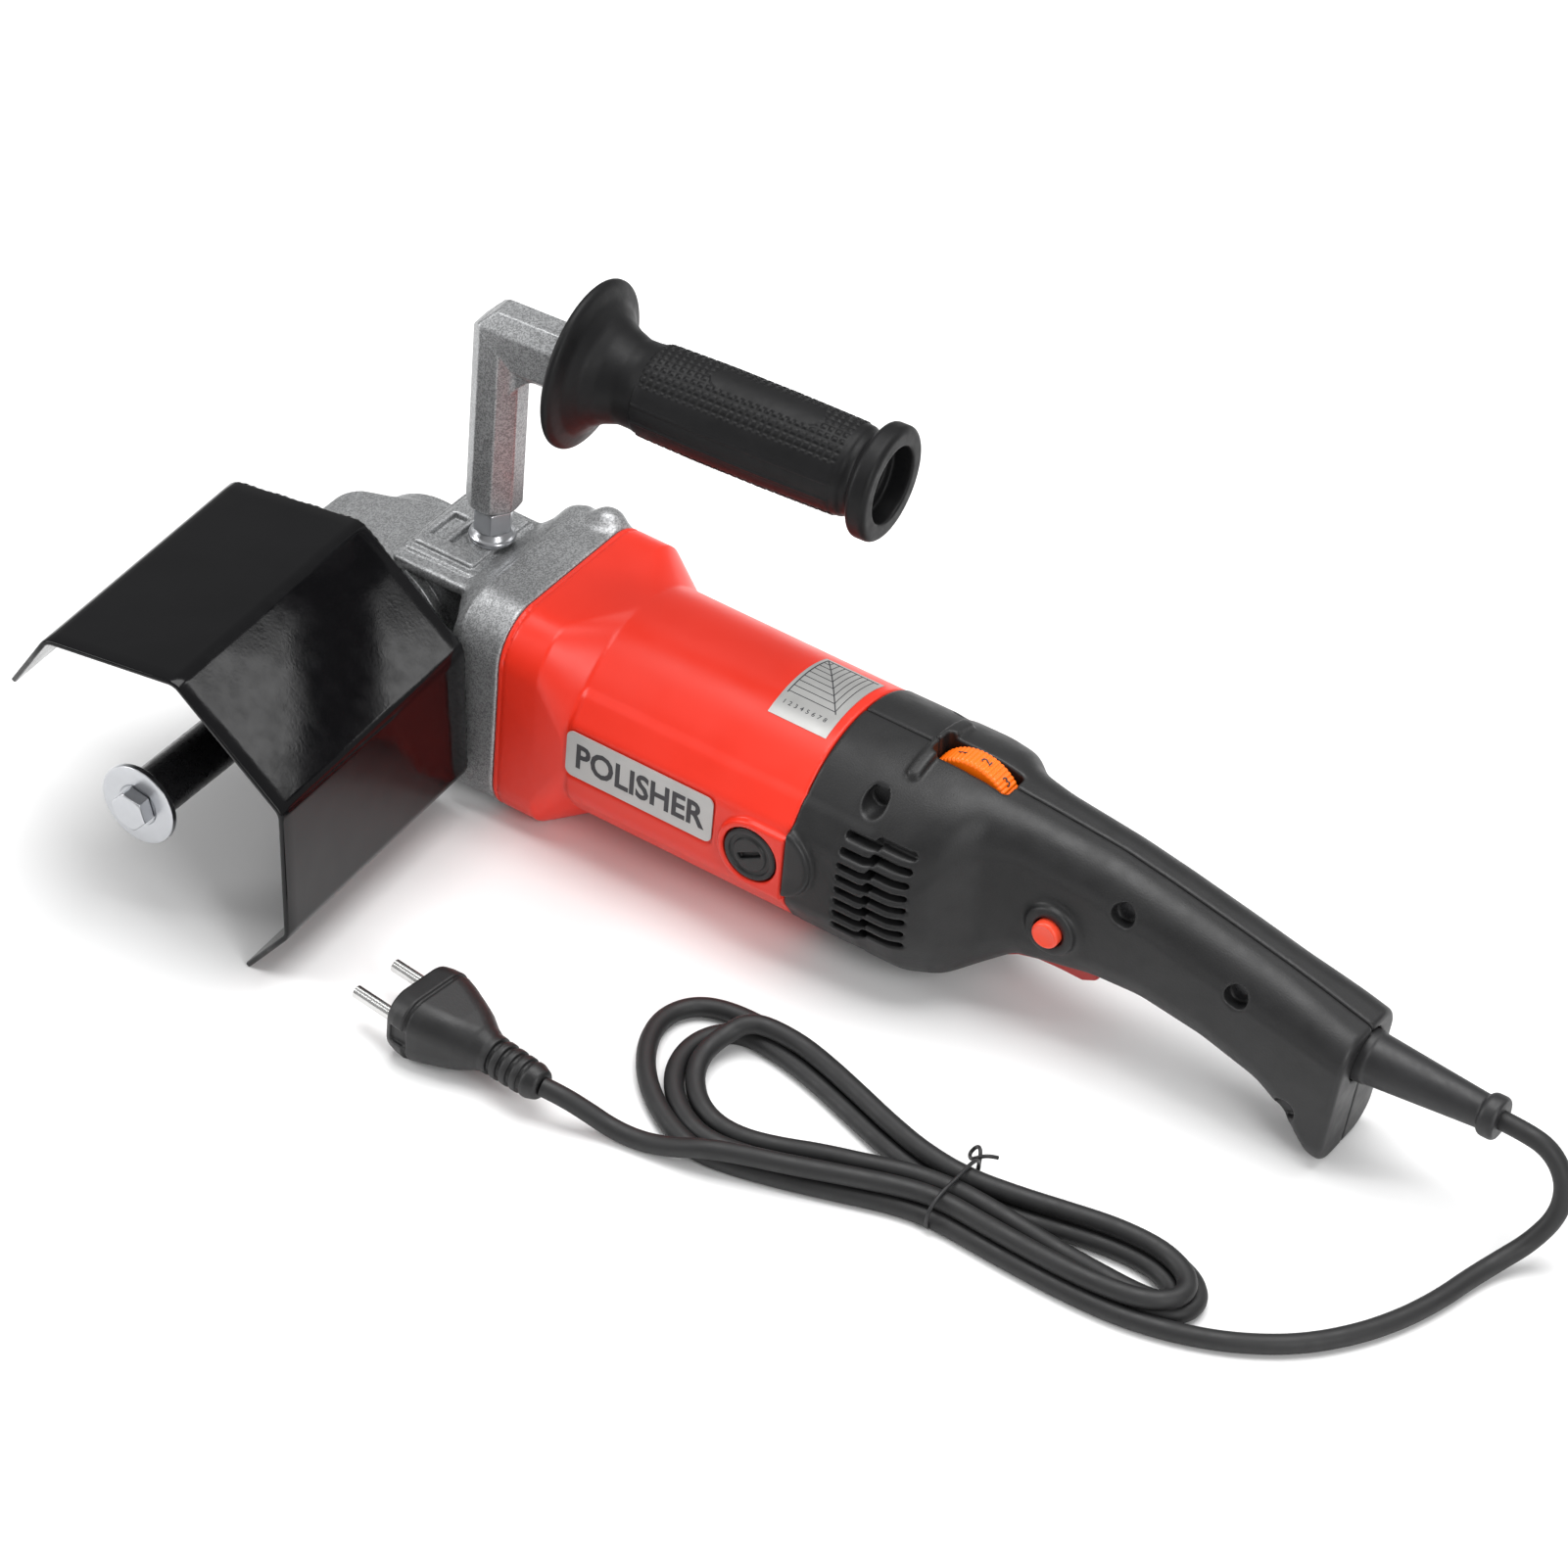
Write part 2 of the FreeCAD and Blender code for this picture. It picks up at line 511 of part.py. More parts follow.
# ---------------------------------------------------------------- motor housing
def motor_housing():
    """Moulded motor housing: square bell over the fan, round barrel, brush bosses, rear bearing seat."""
    body = new_body("motor_housing")
    bell = body.newObject("PartDesign::Pad", "bell")
    bell.Profile = rounded_box(new_sketch(body, "bell_outline", "YZ_Plane", "bell_front"),
                               "-bell_half", "bell_half", "-bell_half", "bell_half", "bell_corner")
    bind(bell, Length="bell_back - bell_front")
    taper = body.newObject("PartDesign::AdditiveLoft", "taper")
    taper.Profile = rounded_box(new_sketch(body, "taper_front", "YZ_Plane", "bell_back"),
                                "-bell_half", "bell_half", "-bell_half", "bell_half", "bell_corner")
    taper.Sections = [rounded_box(new_sketch(body, "taper_back", "YZ_Plane", "barrel_front"),
                                  "-barrel_radius", "barrel_radius", "-barrel_radius", "barrel_radius",
                                  "barrel_radius - 1")]
    taper.Ruled = True
    drum(body, "Additive", "barrel", ALONG_X, ("barrel_front", "0", "0"), "barrel_radius",
         "joint - barrel_front")
    block(body, "Additive", "label_panel", ("bell_back", "166"), ("-barrel_radius - 0.2", "0"),
          ("-7", "16"))
    drum(body, "Additive", "brush_boss", ALONG_Y, ("brush_along", "-boss_face", "0"), "13.5",
         "2 * boss_face")
    block(body, "Additive", "brush_boss_tail", ("brush_along", "joint"), ("-boss_face", "boss_face"),
          ("-13.5", "13.5"))
    drum(body, "Subtractive", "barrel_bore", ALONG_X, ("bell_back - 2", "0", "0"), "stator_radius",
         "joint - bell_back + 2 - seat_wall")
    hollow = body.newObject("PartDesign::Pocket", "bell_hollow")
    hollow.Profile = rounded_box(new_sketch(body, "hollow_outline", "YZ_Plane", "bell_front"),
                                 "shell - bell_half", "bell_half - shell", "shell - bell_half",
                                 "bell_half - shell", "bell_corner - shell")
    bind(hollow, Length="bell_back - bell_front - 2")
    hollow.Reversed = True
    drum(body, "Additive", "bearing_tower", ALONG_X, ("joint - seat_wall", "0", "0"), "14",
         "seat_wall + 10")
    drum(body, "Subtractive", "bearing_seat", ALONG_X, ("joint - seat_wall + 2", "0", "0"), "11", "20")
    drum(body, "Subtractive", "shaft_way", ALONG_X, ("joint - seat_wall - 1", "0", "0"), "7", "6")
    for number in range(8):
        around = math.radians(45 * number + 22.5)
        drum(body, "Subtractive", f"air_window_{number}", ALONG_X,
             ("joint - seat_wall - 1", f"{27 * math.cos(around):.3f}", f"{27 * math.sin(around):.3f}"),
             "7", "seat_wall + 2")
    drum(body, "Subtractive", "brush_tunnel", ALONG_Y, ("brush_along", "-boss_face - 1", "0"),
         "cap_radius - 2", "2 * boss_face + 2")
    for side, turn in (("near", ALONG_Y), ("far", ALONG_ARBOR)):
        way = "-1" if side == "near" else "1"
        drum(body, "Subtractive", f"cap_seat_{side}", turn,
             ("brush_along", f"{way} * (boss_face + 1)", "0"), "cap_radius", "5")
    for number, (across, up) in enumerate(FLANGE_CORNERS):
        drum(body, "Additive", f"screw_post_{number}", ALONG_X, ("bell_front", across, up), "5.5", "17")
        drum(body, "Subtractive", f"screw_hole_{number}", ALONG_X, ("bell_front - 1", across, up),
             "2", "16")
    keep(body, "motor_housing")
    screws("head_screws", [("bell_front - 9", across, up) for across, up in FLANGE_CORNERS],
           ALONG_X, "2", "22", "3.3", "4")


def motor_inside():
    """The still parts round the armature: baffle, stator, field coils, brush gear and caps."""
    turned("air_baffle", tube("bell_back - 1.8", "bell_back + 0.5", "22", "stator_radius"))
    stator = new_body("stator_core")
    revolve(stator, "stator_turning",
            tube("core_front", "core_back", "core_radius + air_gap", "stator_radius"))
    for number, way in enumerate(("-1", "1")):
        drum(stator, "Subtractive", f"coil_slot_{number}", ALONG_X,
             ("core_front - 1", f"{way} * 28", "0"), "5", "core_back - core_front + 2")
    keep(stator, "stator_core")
    coils = []
    for number, up in enumerate((1, -1)):
        for end, start in (("front", "core_front - 7"), ("rear", "core_back")):
            ring = bar(f"coil_{number}_{end}_ring", ALONG_X, (start, "0", "0"), "stator_radius - 3", "7")
            hole = bar(f"coil_{number}_{end}_hole", ALONG_X, (f"{start} - 1", "0", "0"),
                       "core_radius + 3", "9")
            half = doc.addObject("Part::Box", f"coil_{number}_{end}_half")
            low = "4" if up > 0 else "-44"
            half.Placement.Base = Vector(size(start) - 1, -40, size(low))
            bind(half, Length="9", Width="80", Height="40")
            cropped = doc.addObject("Part::Common", f"coil_{number}_{end}")
            cropped.Base = cut(f"coil_{number}_{end}_full", ring, hole)
            cropped.Tool = half
            coils.append(cropped)
    group("field_coils", coils)
    holders, brushes, caps = [], [], []
    for side, turn, way in (("near", ALONG_ARBOR, "-1"), ("far", ALONG_Y, "1")):
        start = ("brush_along", f"{way} * 16", "0")
        case = bar(f"holder_{side}_case", turn, start, "cap_radius - 2", "boss_face - 16 - 4.2")
        hole = doc.addObject("Part::Box", f"holder_{side}_hole")
        low = "-40" if side == "near" else "0"
        hole.Placement.Base = Vector(size("brush_along") - 5.5, size(low), -4)
        bind(hole, Length="11", Width="40", Height="8")
        bore = bar(f"holder_{side}_spring_way", turn, ("brush_along", f"{way} * 39", "0"), "4", "8")
        holders.append(cut(f"holder_{side}", case, fused(f"holder_{side}_ways", [hole, bore])))
        brush = doc.addObject("Part::Box", f"brush_{side}")
        inner = size("commutator_radius") + 0.1
        low = -inner - 16 if side == "near" else inner
        brush.Placement.Base = Vector(size("brush_along") - 5.4, low, -3.9)
        bind(brush, Length="10.8", Width="16", Height="7.8")
        brushes.append(brush)
        disc = bar(f"cap_{side}_disc", turn, ("brush_along", f"{way} * (boss_face - 4)", "0"),
                   "cap_radius - 0.05", "4.6")
        slot = doc.addObject("Part::Box", f"cap_{side}_slot")
        far = size("boss_face") - 0.9
        low = -far - 2 if side == "near" else far
        slot.Placement.Base = Vector(size("brush_along") - 5.5, low, -0.9)
        bind(slot, Length="11", Width="2", Height="1.8")
        caps.append(cut(f"cap_{side}", disc, slot))
    group("brush_holders", holders)
    group("carbon_brushes", brushes)
    group("brush_caps", caps)


def label_plates():
    """The flat name plate on the side and the curved speed chart on top of the barrel."""
    plate = new_body("name_plate")
    pad = plate.newObject("PartDesign::Pad", "plate")
    pad.Profile = rounded_box(new_sketch(plate, "plate_outline", "XZ_Plane", "barrel_radius + 0.2"),
                              "101", "163", "-5", "14.5", "3")
    bind(pad, Length="0.5")
    keep(plate, "name_plate")
    chart = new_body("speed_chart_plate")
    feature = revolve(chart, "chart_turning",
                      tube("166", "190", "barrel_radius", "barrel_radius + 0.4"), angle=50)
    feature.Midplane = True
    keep(chart, "speed_chart_plate", ALONG_X)


# ---------------------------------------------------------------- rear handle
# Stations of the black shells: distance along, half width, top, bottom and corner radius.
HANDLE_STATIONS = [
    ("joint", "barrel_radius", 43.5, -43.5, 42), (236, 43, 43.5, -43, 40), (248, 35, 42.5, -38, 28),
    (257, 23, 40.5, -31, 17), (270, 19, 39.5, -20, 14), (300, 18, 36.5, -14, 14), (320, 18, 32.6, -13, 14),
    (345, 18, 27, -17, 14), (368, 18, 21.5, -24, 14), (381, 18.3, 18, -32, 13), (391, 18.5, 15, -44, 12),
    (404, 18.5, 10.5, -44, 12)]


def handle_section(body, name, station, wall, moved=0):
    """One round-cornered section of the handle, drawn inside the outer one by the wall."""
    along, half, top, bottom, corner = station
    return rounded_box(new_sketch(body, name, "YZ_Plane", f"{along} + {moved}"), f"-({half} - {wall})",
                       f"{half} - {wall}", f"{bottom} + {wall}", f"{top} - {wall}", f"{corner} - {wall}")


def handle_shell(label, side):
    """One half of the rear handle; side is -1 for the left half, which has the lock button."""
    body = new_body(label)
    for kind, wall in (("Additive", 0), ("Subtractive", 3)):
        stations = HANDLE_STATIONS if kind == "Additive" else HANDLE_STATIONS[:-1]
        sections = [handle_section(body, f"{kind.lower()}_{number}", station, wall)
                    for number, station in enumerate(stations)]
        loft = body.newObject(f"PartDesign::{kind}Loft", f"{kind.lower()}_loft")
        loft.Profile, loft.Sections, loft.Ruled = sections[0], sections[1:], True
    if side < 0:
        drum(body, "Additive", "button_boss", ALONG_ARBOR, ("button_along", "-15", "button_high"),
             "boss_radius", "6")
        drum(body, "Subtractive", "button_way", ALONG_Y, ("button_along", "-22", "button_high"),
             "button_radius + 0.08", "10")
    block(body, "Additive", "joint_tab", ("joint", "203"),
          (f"{side} * 43 - 3.5", f"{side} * 43 + 3.5"), ("-11", "18"))
    vents = []
    for column, along in enumerate((213, 228)):
        vents.append(block(body, "Subtractive", f"vent_{column}", (along, f"{along} + 13"),
                           (f"{side} * 30 - 15", f"{side} * 30 + 15"), ("-17.5", "-14.9")))
    rows = body.newObject("PartDesign::LinearPattern", "vent_rows")
    rows.Originals = vents
    rows.Direction = (next(part for part in body.Origin.OriginFeatures if part.Role == "Z_Axis"), [""])
    rows.Length = 39
    rows.Occurrences = 8
    body.Tip = rows
    block(body, "Subtractive", "dial_slot", ("dial_along - 15.5", "dial_along + 15.5"), ("-5.4", "5.4"),
          ("36", "50"))
    block(body, "Subtractive", "trigger_slot", ("trigger_front - 5", "trigger_back + 1.5"),
          ("-7.5", "7.5"), ("-40", "0"))
    drum(body, "Subtractive", "sleeve_way", ALONG_X, ("375", "0", "sleeve_high"), "sleeve_root", "30")
    lean = body.newObject("PartDesign::SubtractiveBox", "tail_cut")
    lean.Placement = Placement(Vector(), Rotation(Vector(0, 1, 0), size("tail_lean")))
    bind(lean, Length="30", Width="60", Height="120", Placement__Base__x="handle_tail - 12",
         Placement__Base__y="-30", Placement__Base__z="-60")
    for number, (along, up) in enumerate(HANDLE_SCREWS):
        post_end = 14 if along > 250 else 30
        drum(body, "Additive", f"screw_post_{number}", ALONG_ARBOR if side < 0 else ALONG_Y,
             (along, f"{side} * 0.01", up), "4", str(post_end))
        drum(body, "Subtractive", f"screw_hole_{number}", ALONG_Y, (along, "-60", up), "1.5", "120")
        if side < 0:
            drum(body, "Subtractive", f"screw_head_{number}", ALONG_ARBOR, (along, "-11", up), "3.2", "40")
    half = ("0", "60") if side < 0 else ("-60", "0")
    block(body, "Subtractive", "other_half", ("150", "420"), half, ("-60", "60"))
    keep(body, label)


HANDLE_SCREWS = [(218, 33), (218, -30), (311, 24), (357, 13), (381, -24)]


def handle_parts():
    """Switch, speed control, dial, trigger, lock button and strain relief sleeve."""
    screws("handle_screws", [(str(along), "-11", str(up)) for along, up in HANDLE_SCREWS],
           ALONG_Y, "1.45", "22", "3", "2.2")
    switch = new_body("trigger_switch")
    block(switch, "Additive", "case", ("264", "300"), ("-6.5", "6.5"), ("0", "22"))
    block(switch, "Additive", "plunger", ("290", "294"), ("-3", "3"), ("-2.5", "1"))
    keep(switch, "trigger_switch")
    control = new_body("speed_control")
    block(control, "Additive", "board", ("dial_along - 16", "dial_along + 14"), ("-7.5", "-5.5"),
          ("8", "36"))
    drum(control, "Additive", "spindle", ALONG_Y, ("dial_along", "-6", "dial_high"), "2.95", "12")
    block(control, "Additive", "heat_sink", ("dial_along - 12", "dial_along + 8"), ("-14", "-7.5"),
          ("10", "30"))
    keep(control, "speed_control")
    turned("speed_dial", tube("-dial_half", "dial_half", "3", "dial_radius"), ALONG_Y,
           ("dial_along", "0", "dial_high"))
    trigger = new_body("trigger")
    pad = trigger.newObject("PartDesign::Pad", "lever")
    pad.Profile = outline(new_sketch(trigger, "lever_outline", "XZ_Plane", "-7"),
                          [("trigger_front - 3", "-27.5"), ("trigger_front + 6", "-24.5"),
                           ("trigger_front + 18", "-22.8"), ("trigger_back - 8", "-22.4"),
                           ("trigger_back - 1", "-19"), ("trigger_back - 0.5", "-8"),
                           ("trigger_front + 6", "-5.5"), ("trigger_front - 2", "-7")])
    bind(pad, Length="14")
    drum(trigger, "Subtractive", "pivot_hole", ALONG_Y, ("trigger_front + 2", "-8", "-10"), "2.05", "16")
    keep(trigger, "trigger")
    group("trigger_pivot", [bar("pivot_pin", ALONG_Y, ("trigger_front + 2", "-9", "-10"), "2", "18")])
    turned("lock_button", [("10", "0"), ("24.5", "0"), ("24.5", "button_radius"), ("14.5", "button_radius"),
                           ("14.5", "6.8"), ("12.5", "6.8"), ("12.5", "2.5"), ("10", "2.5")], ALONG_ARBOR,
           ("button_along", "0", "button_high"))
    turned("cord_sleeve",
           [("384", "cord_radius + 0.1"), ("sleeve_end", "cord_radius + 0.1"), ("sleeve_end", "6.7"),
            ("sleeve_end - 5", "6.9"), ("sleeve_end - 6.5", "5.7"), ("405", "8.3"),
            ("403", "sleeve_root - 0.1"), ("384", "sleeve_root - 0.1")],
           ALONG_X, ("0", "0", "sleeve_high"))


# ---------------------------------------------------------------- side handle
def side_handle():
    """Octagonal cast bracket on its stud, with the moulded grip and the bolt that holds it."""
    place = ("stud_along", "0", "0")
    turn = Rotation(Vector(0, 0, 1), size("grip_turn"))
    stud = bar("stud_bar", ALONG_Z, ("stud_along", "0", "pad_top - 12"), "stud_radius", "50")
    group("bracket_stud", [stud])
    nut = [hexagon("nut_hexagon", ALONG_Z, ("stud_along", "0", "pad_top + 5.5"), "13", "9"),
           bar("nut_flange", ALONG_Z, ("stud_along", "0", "pad_top"), "8.5", "5.5")]
    bore = bar("nut_bore", ALONG_Z, ("stud_along", "0", "pad_top - 1"), "stud_radius", "20")
    keep(cut("bracket_nut", fused("nut_blank", nut), bore), "bracket_nut")
    leg = hexagon("bracket_leg", ALONG_Z, ("0", "0", "bar_foot"), "bar_flats",
                  "grip_high + bar_flats / 2 - bar_foot", 8)
    arm = hexagon("bracket_arm", ALONG_X, ("-bar_flats / 2", "0", "grip_high"), "bar_flats",
                  "bar_flats / 2 + arm_length", 8)
    for prism, axis in ((leg, Vector(0, 0, 1)), (arm, Vector(1, 0, 0))):
        prism.Placement.Rotation = Rotation(axis, 22.5).multiply(prism.Placement.Rotation)
    corner = doc.addObject("Part::Box", "bracket_corner")
    corner.Placement = Placement(Vector(-size("bar_flats") / 2 - 10.5, -20, size("grip_high")),
                                 Rotation(Vector(0, 1, 0), -45))
    bind(corner, Length="40", Width="40", Height="12")
    stud_way = bar("bracket_stud_way", ALONG_Z, ("0", "0", "bar_foot - 1"), "stud_radius + 0.05", "26")
    bolt_way = bar("bracket_bolt_way", ALONG_X, ("10", "0", "grip_high"), "stud_radius", "30")
    tools = fused("bracket_tools", [corner, stud_way, bolt_way])
    keep(cut("handle_bracket", fused("bracket_blank", [leg, arm]), tools), "handle_bracket", turn, place)
    far = "arm_length + grip_length"
    grip = new_body("side_grip")
    revolve(grip, "grip_turning",
            [("arm_length", "4.2"), (f"{far} - 30", "4.2"), (f"{far} - 30", "9.5"), (f"{far} - 8", "9.5"),
             (f"{far} - 8", "14"), (far, "14"), (far, "ring_radius - 1.5"), (f"{far} - 1.5", "ring_radius"),
             (f"{far} - 6.5", "ring_radius"), (f"{far} - 9", "grip_radius - 1"),
             (f"{far} - 12", "grip_radius - 1"),
             (f"{far} - 13", "grip_radius"), ("arm_length + 25", "grip_radius"),
             ("arm_length + 20", "grip_radius - 1.2"), ("arm_length + 10", "grip_radius + 1"),
             ("arm_length + 5.5", "grip_radius + 5"), ("arm_length + 5", "disc_radius - 2"),
             ("arm_length + 4", "disc_radius"), ("arm_length + 1.5", "disc_radius"),
             ("arm_length + 1", "grip_radius"), ("arm_length", "12")])
    keep(grip, "side_grip", turn, ("stud_along", "0", "grip_high"))
    turned("grip_bolt", [("12", "0"), (f"{far} - 24", "0"), (f"{far} - 24", "6.5"), (f"{far} - 30", "6.5"),
                         (f"{far} - 30", "stud_radius"), ("12", "stud_radius")], turn,
           ("stud_along", "0", "grip_high"))


# ---------------------------------------------------------------- mains lead
# The lead's route and the hank's outline, in millimetres in the drawing axes.
LEAD_ROUTE = [(448, 0, -0.5), (460, 0, -0.5), (471, 0.6, -3.5), (478.5, -0.6, -12.5), (480, -4.2, -24),
              (475, -11.5, -34), (468.6, -21.5, -39.4), (464.5, -34, -40.5), (461.5, -48, -40.5),
              (456, -64, -40.5), (447.5, -80, -40.5), (435, -95.5, -40.5), (419, -107.5, -40.5),
              (402, -115.5, -40.5)]
PLUG_LEAD_ROUTE = [(223, -142.8, -40.5), (211.5, -146, -40.5), (200, -149.4, -39.2), (189, -153, -34.8),
                   (181, -156.4, -31.6), (174.4, -157.2, -31)]
HANK_OUTLINE = [(400.2, -111.7), (403.8, -119.3), (385, -123.6), (366, -125.4), (340, -125.6),
                (311, -123.6), (299, -125.8), (280, -132.8), (261, -139.2), (243, -145.6),
                (231, -148), (224.1, -146.5), (221.9, -139.1), (206, -130.5), (188, -120),
                (180, -108), (177.5, -96), (180, -85), (187, -77.5), (200, -74.5), (219, -74),
                (236, -77), (252, -83), (267, -89), (290, -95.2), (311, -96), (326, -90.6),
                (344, -85.8), (362, -83), (380, -84), (392, -88.5), (399.5, -96), (402.8, -105)]


def lead_tube(label, route):
    """A round lead along straight runs joined by tangent arcs, checked against section times length."""
    spots = [Vector(*spot) for spot in route]
    edges, start, radii = [], spots[0], []
    for before, here, after in zip(spots, spots[1:], spots[2:]):
        back, ahead = before - here, after - here
        turn_angle = math.pi - back.getAngle(ahead)
        radius = 0.45 * min(back.Length, ahead.Length) / math.tan(turn_angle / 2)
        trim = 0.45 * min(back.Length, ahead.Length)
        first = here + back.normalize() * trim
        last = here + ahead.normalize() * trim
        inward = (back + ahead).normalize()
        middle = here + inward * (math.hypot(radius, trim) - radius)
        edges += [Part.LineSegment(start, first).toShape(), Part.Arc(first, middle, last).toShape()]
        start = last
        radii.append(radius)
    edges.append(Part.LineSegment(start, spots[-1]).toShape())
    path = Part.Wire(edges)
    section = Part.Wire(Part.makeCircle(size("cord_radius"), spots[0], spots[1] - spots[0]))
    lead = doc.addObject("Part::Feature", label)
    lead.Shape = path.makePipeShell([section], True, True)
    expected = math.pi * size("cord_radius") ** 2 * path.Length
    print(f"{label}: length {path.Length:.0f} mm, smallest radius {min(radii):.0f} mm, "
          f"volume {lead.Shape.Volume / expected:.3f} of section times length")
    keep(lead, label)


def hank():
    """The tied hank's outer shape and the wire tie over it."""
    body = new_body("mains_lead_hank")
    pad = body.newObject("PartDesign::Pad", "turns")
    pad.Profile = outline(new_sketch(body, "turns_outline", "XY_Plane", "-floor_drop"),
                          [(str(along), str(across)) for along, across in HANK_OUTLINE])
    bind(pad, Length="hank_high")
    keep(body, "mains_lead_hank")
    tie = new_body("hank_tie")
    block(tie, "Additive", "strap", ("307.6", "309.4"), ("-126.4", "-93.6"),
          ("-floor_drop", "hank_high - floor_drop + 2"))
    block(tie, "Subtractive", "bundle", ("307", "310"), ("-124.7", "-95"),
          ("-floor_drop - 1", "hank_high - floor_drop"))
    keep(tie, "hank_tie")


def plug():
    """Moulded two-pin plug lying on the surface at the end of the lead, pins pointing forward."""
    turn = Rotation(Vector(0, 0, 1), size("plug_turn") + 180)
    place = ("174.4", "-157.2", "plug_high - floor_drop")
    body = new_body("plug_body")
    revolve(body, "plug_turning",
            [("0", "0"), ("58", "0"), ("58", "15"), ("50", "17"), ("38", "13"), ("26", "8"), ("24", "6.8"),
             ("3", "5"), ("0", "5")])
    block(body, "Subtractive", "flat_below", ("-1", "60"), ("-20", "20"), ("-20", "-13"))
    block(body, "Subtractive", "flat_above", ("-1", "60"), ("-20", "20"), ("13", "20"))
    keep(body, "plug_body", turn, place)
    pins = []
    for number, side in enumerate((-1, 1)):
        pins.append(bar(f"plug_pin_{number}", ALONG_X, ("58", f"{side} * pin_gap / 2", "0"),
                        "pin_radius", "pin_length"))
    group("plug_pins", pins, turn, place)


# ---------------------------------------------------------------- build everything
gear_head()
bearing_cover()
guard()
spindle()
armature()
motor_housing()
motor_inside()
label_plates()
ball_set = bearing("spindle_rear_bearing", "-31.8", "9", "5", "15", ALONG_ARBOR)
ball_set += bearing("spindle_front_bearing", "32", "12", "spindle_radius", "20", ALONG_ARBOR)
ball_set += bearing("motor_front_bearing", "44", "8", "armature_radius", "14", ALONG_X)
ball_set += bearing("motor_rear_bearing", "joint + 0.5", "7", "4", "11", ALONG_X)
group("bearing_balls", ball_set)
handle_shell("handle_shell_left", -1)
handle_shell("handle_shell_right", 1)
handle_parts()
side_handle()
lead_tube("mains_lead", LEAD_ROUTE)
lead_tube("plug_lead", PLUG_LEAD_ROUTE)
hank()
plug()
doc.recompute()

# ---------------------------------------------------------------- check and write
for thing in doc.Objects:
    if "Invalid" in thing.State or "Error" in thing.State:
        raise RuntimeError(f"{thing.Name} did not compute: {thing.State}")
for node in nodes:
    if node.Shape.isNull() or not node.Shape.isValid():
        raise RuntimeError(f"{node.Label} has no valid shape")
os.makedirs("parts", exist_ok=True)
for node in nodes:
    node.Shape.exportStep(f"parts/{node.Label}.step")
whole = Part.Compound([node.Shape for node in nodes]).BoundBox
print(f"{len(nodes)} nodes, {whole.XLength:.0f} x {whole.YLength:.0f} x {whole.ZLength:.0f} mm")
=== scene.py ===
import json
import math

import bmesh
import bpy
import numpy as np
from mathutils import Matrix, Vector


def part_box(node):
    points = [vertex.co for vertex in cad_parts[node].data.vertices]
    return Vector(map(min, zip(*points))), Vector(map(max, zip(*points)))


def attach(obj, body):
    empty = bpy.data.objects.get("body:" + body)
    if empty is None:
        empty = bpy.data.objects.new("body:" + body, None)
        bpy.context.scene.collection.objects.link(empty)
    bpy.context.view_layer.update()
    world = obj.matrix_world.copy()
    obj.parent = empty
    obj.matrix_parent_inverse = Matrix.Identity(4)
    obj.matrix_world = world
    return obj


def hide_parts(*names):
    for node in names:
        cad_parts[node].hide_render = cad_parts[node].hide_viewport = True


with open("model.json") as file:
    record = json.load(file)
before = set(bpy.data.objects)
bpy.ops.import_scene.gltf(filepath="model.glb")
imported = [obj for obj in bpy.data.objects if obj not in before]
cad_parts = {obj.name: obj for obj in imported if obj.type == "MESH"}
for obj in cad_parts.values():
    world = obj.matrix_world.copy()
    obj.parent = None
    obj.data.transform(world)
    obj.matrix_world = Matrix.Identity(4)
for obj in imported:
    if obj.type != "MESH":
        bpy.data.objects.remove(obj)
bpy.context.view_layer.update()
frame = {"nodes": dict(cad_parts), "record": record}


# ---------------------------------------------------------------- drawing axes
def middle(node):
    """The middle of a node's box."""
    low, high = (Vector(corner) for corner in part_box(node))
    return (low + high) / 2


MM = 0.001
# The drawing's zero is where the motor's axis crosses the arbor's; the floor is 44 mm below it.
ZERO = Vector((middle("arbor_sleeve").x, middle("armature_shaft").y, middle("arbor_sleeve").z))
FLOOR = -44


def place(along, across, up):
    """Metres in the model's frame for a spot in drawing millimetres."""
    return ZERO + Vector((along, across, up)) * MM


# ---------------------------------------------------------------- camera, floor and lights
CAMERA_SPOT = (973.1, -1372.2, 1311.6)
CAMERA_TURN, CAMERA_RISE, CAMERA_TILT = (math.radians(a) for a in (30.516, 39.599, 5.362))

back = Vector((math.sin(CAMERA_TURN) * math.cos(CAMERA_RISE),
               -math.cos(CAMERA_TURN) * math.cos(CAMERA_RISE), math.sin(CAMERA_RISE)))
level = Vector((math.cos(CAMERA_TURN), math.sin(CAMERA_TURN), 0))
upward = back.cross(level)
sideways = math.cos(CAMERA_TILT) * level + math.sin(CAMERA_TILT) * upward
overhead = math.cos(CAMERA_TILT) * upward - math.sin(CAMERA_TILT) * level
lens = bpy.data.cameras.new("camera")
lens.lens = 134.92
lens.sensor_width = 36
lens.clip_end = 20
camera = bpy.data.objects.new("camera", lens)
bpy.context.collection.objects.link(camera)
camera.matrix_world = Matrix.Translation(place(*CAMERA_SPOT)) @ Matrix(
    (sideways, overhead, back)).transposed().to_4x4()
bpy.context.scene.camera = camera
bpy.context.scene.view_settings.view_transform = "Standard"


def nodes_of(name):
    """A new node material with its node tree and main shader."""
    paint = bpy.data.materials.new(name)
    paint.use_nodes = True
    return paint, paint.node_tree, paint.node_tree.nodes["Principled BSDF"]


# The length of the slow waves in a sheet's surface.
WAVE_MM = 45


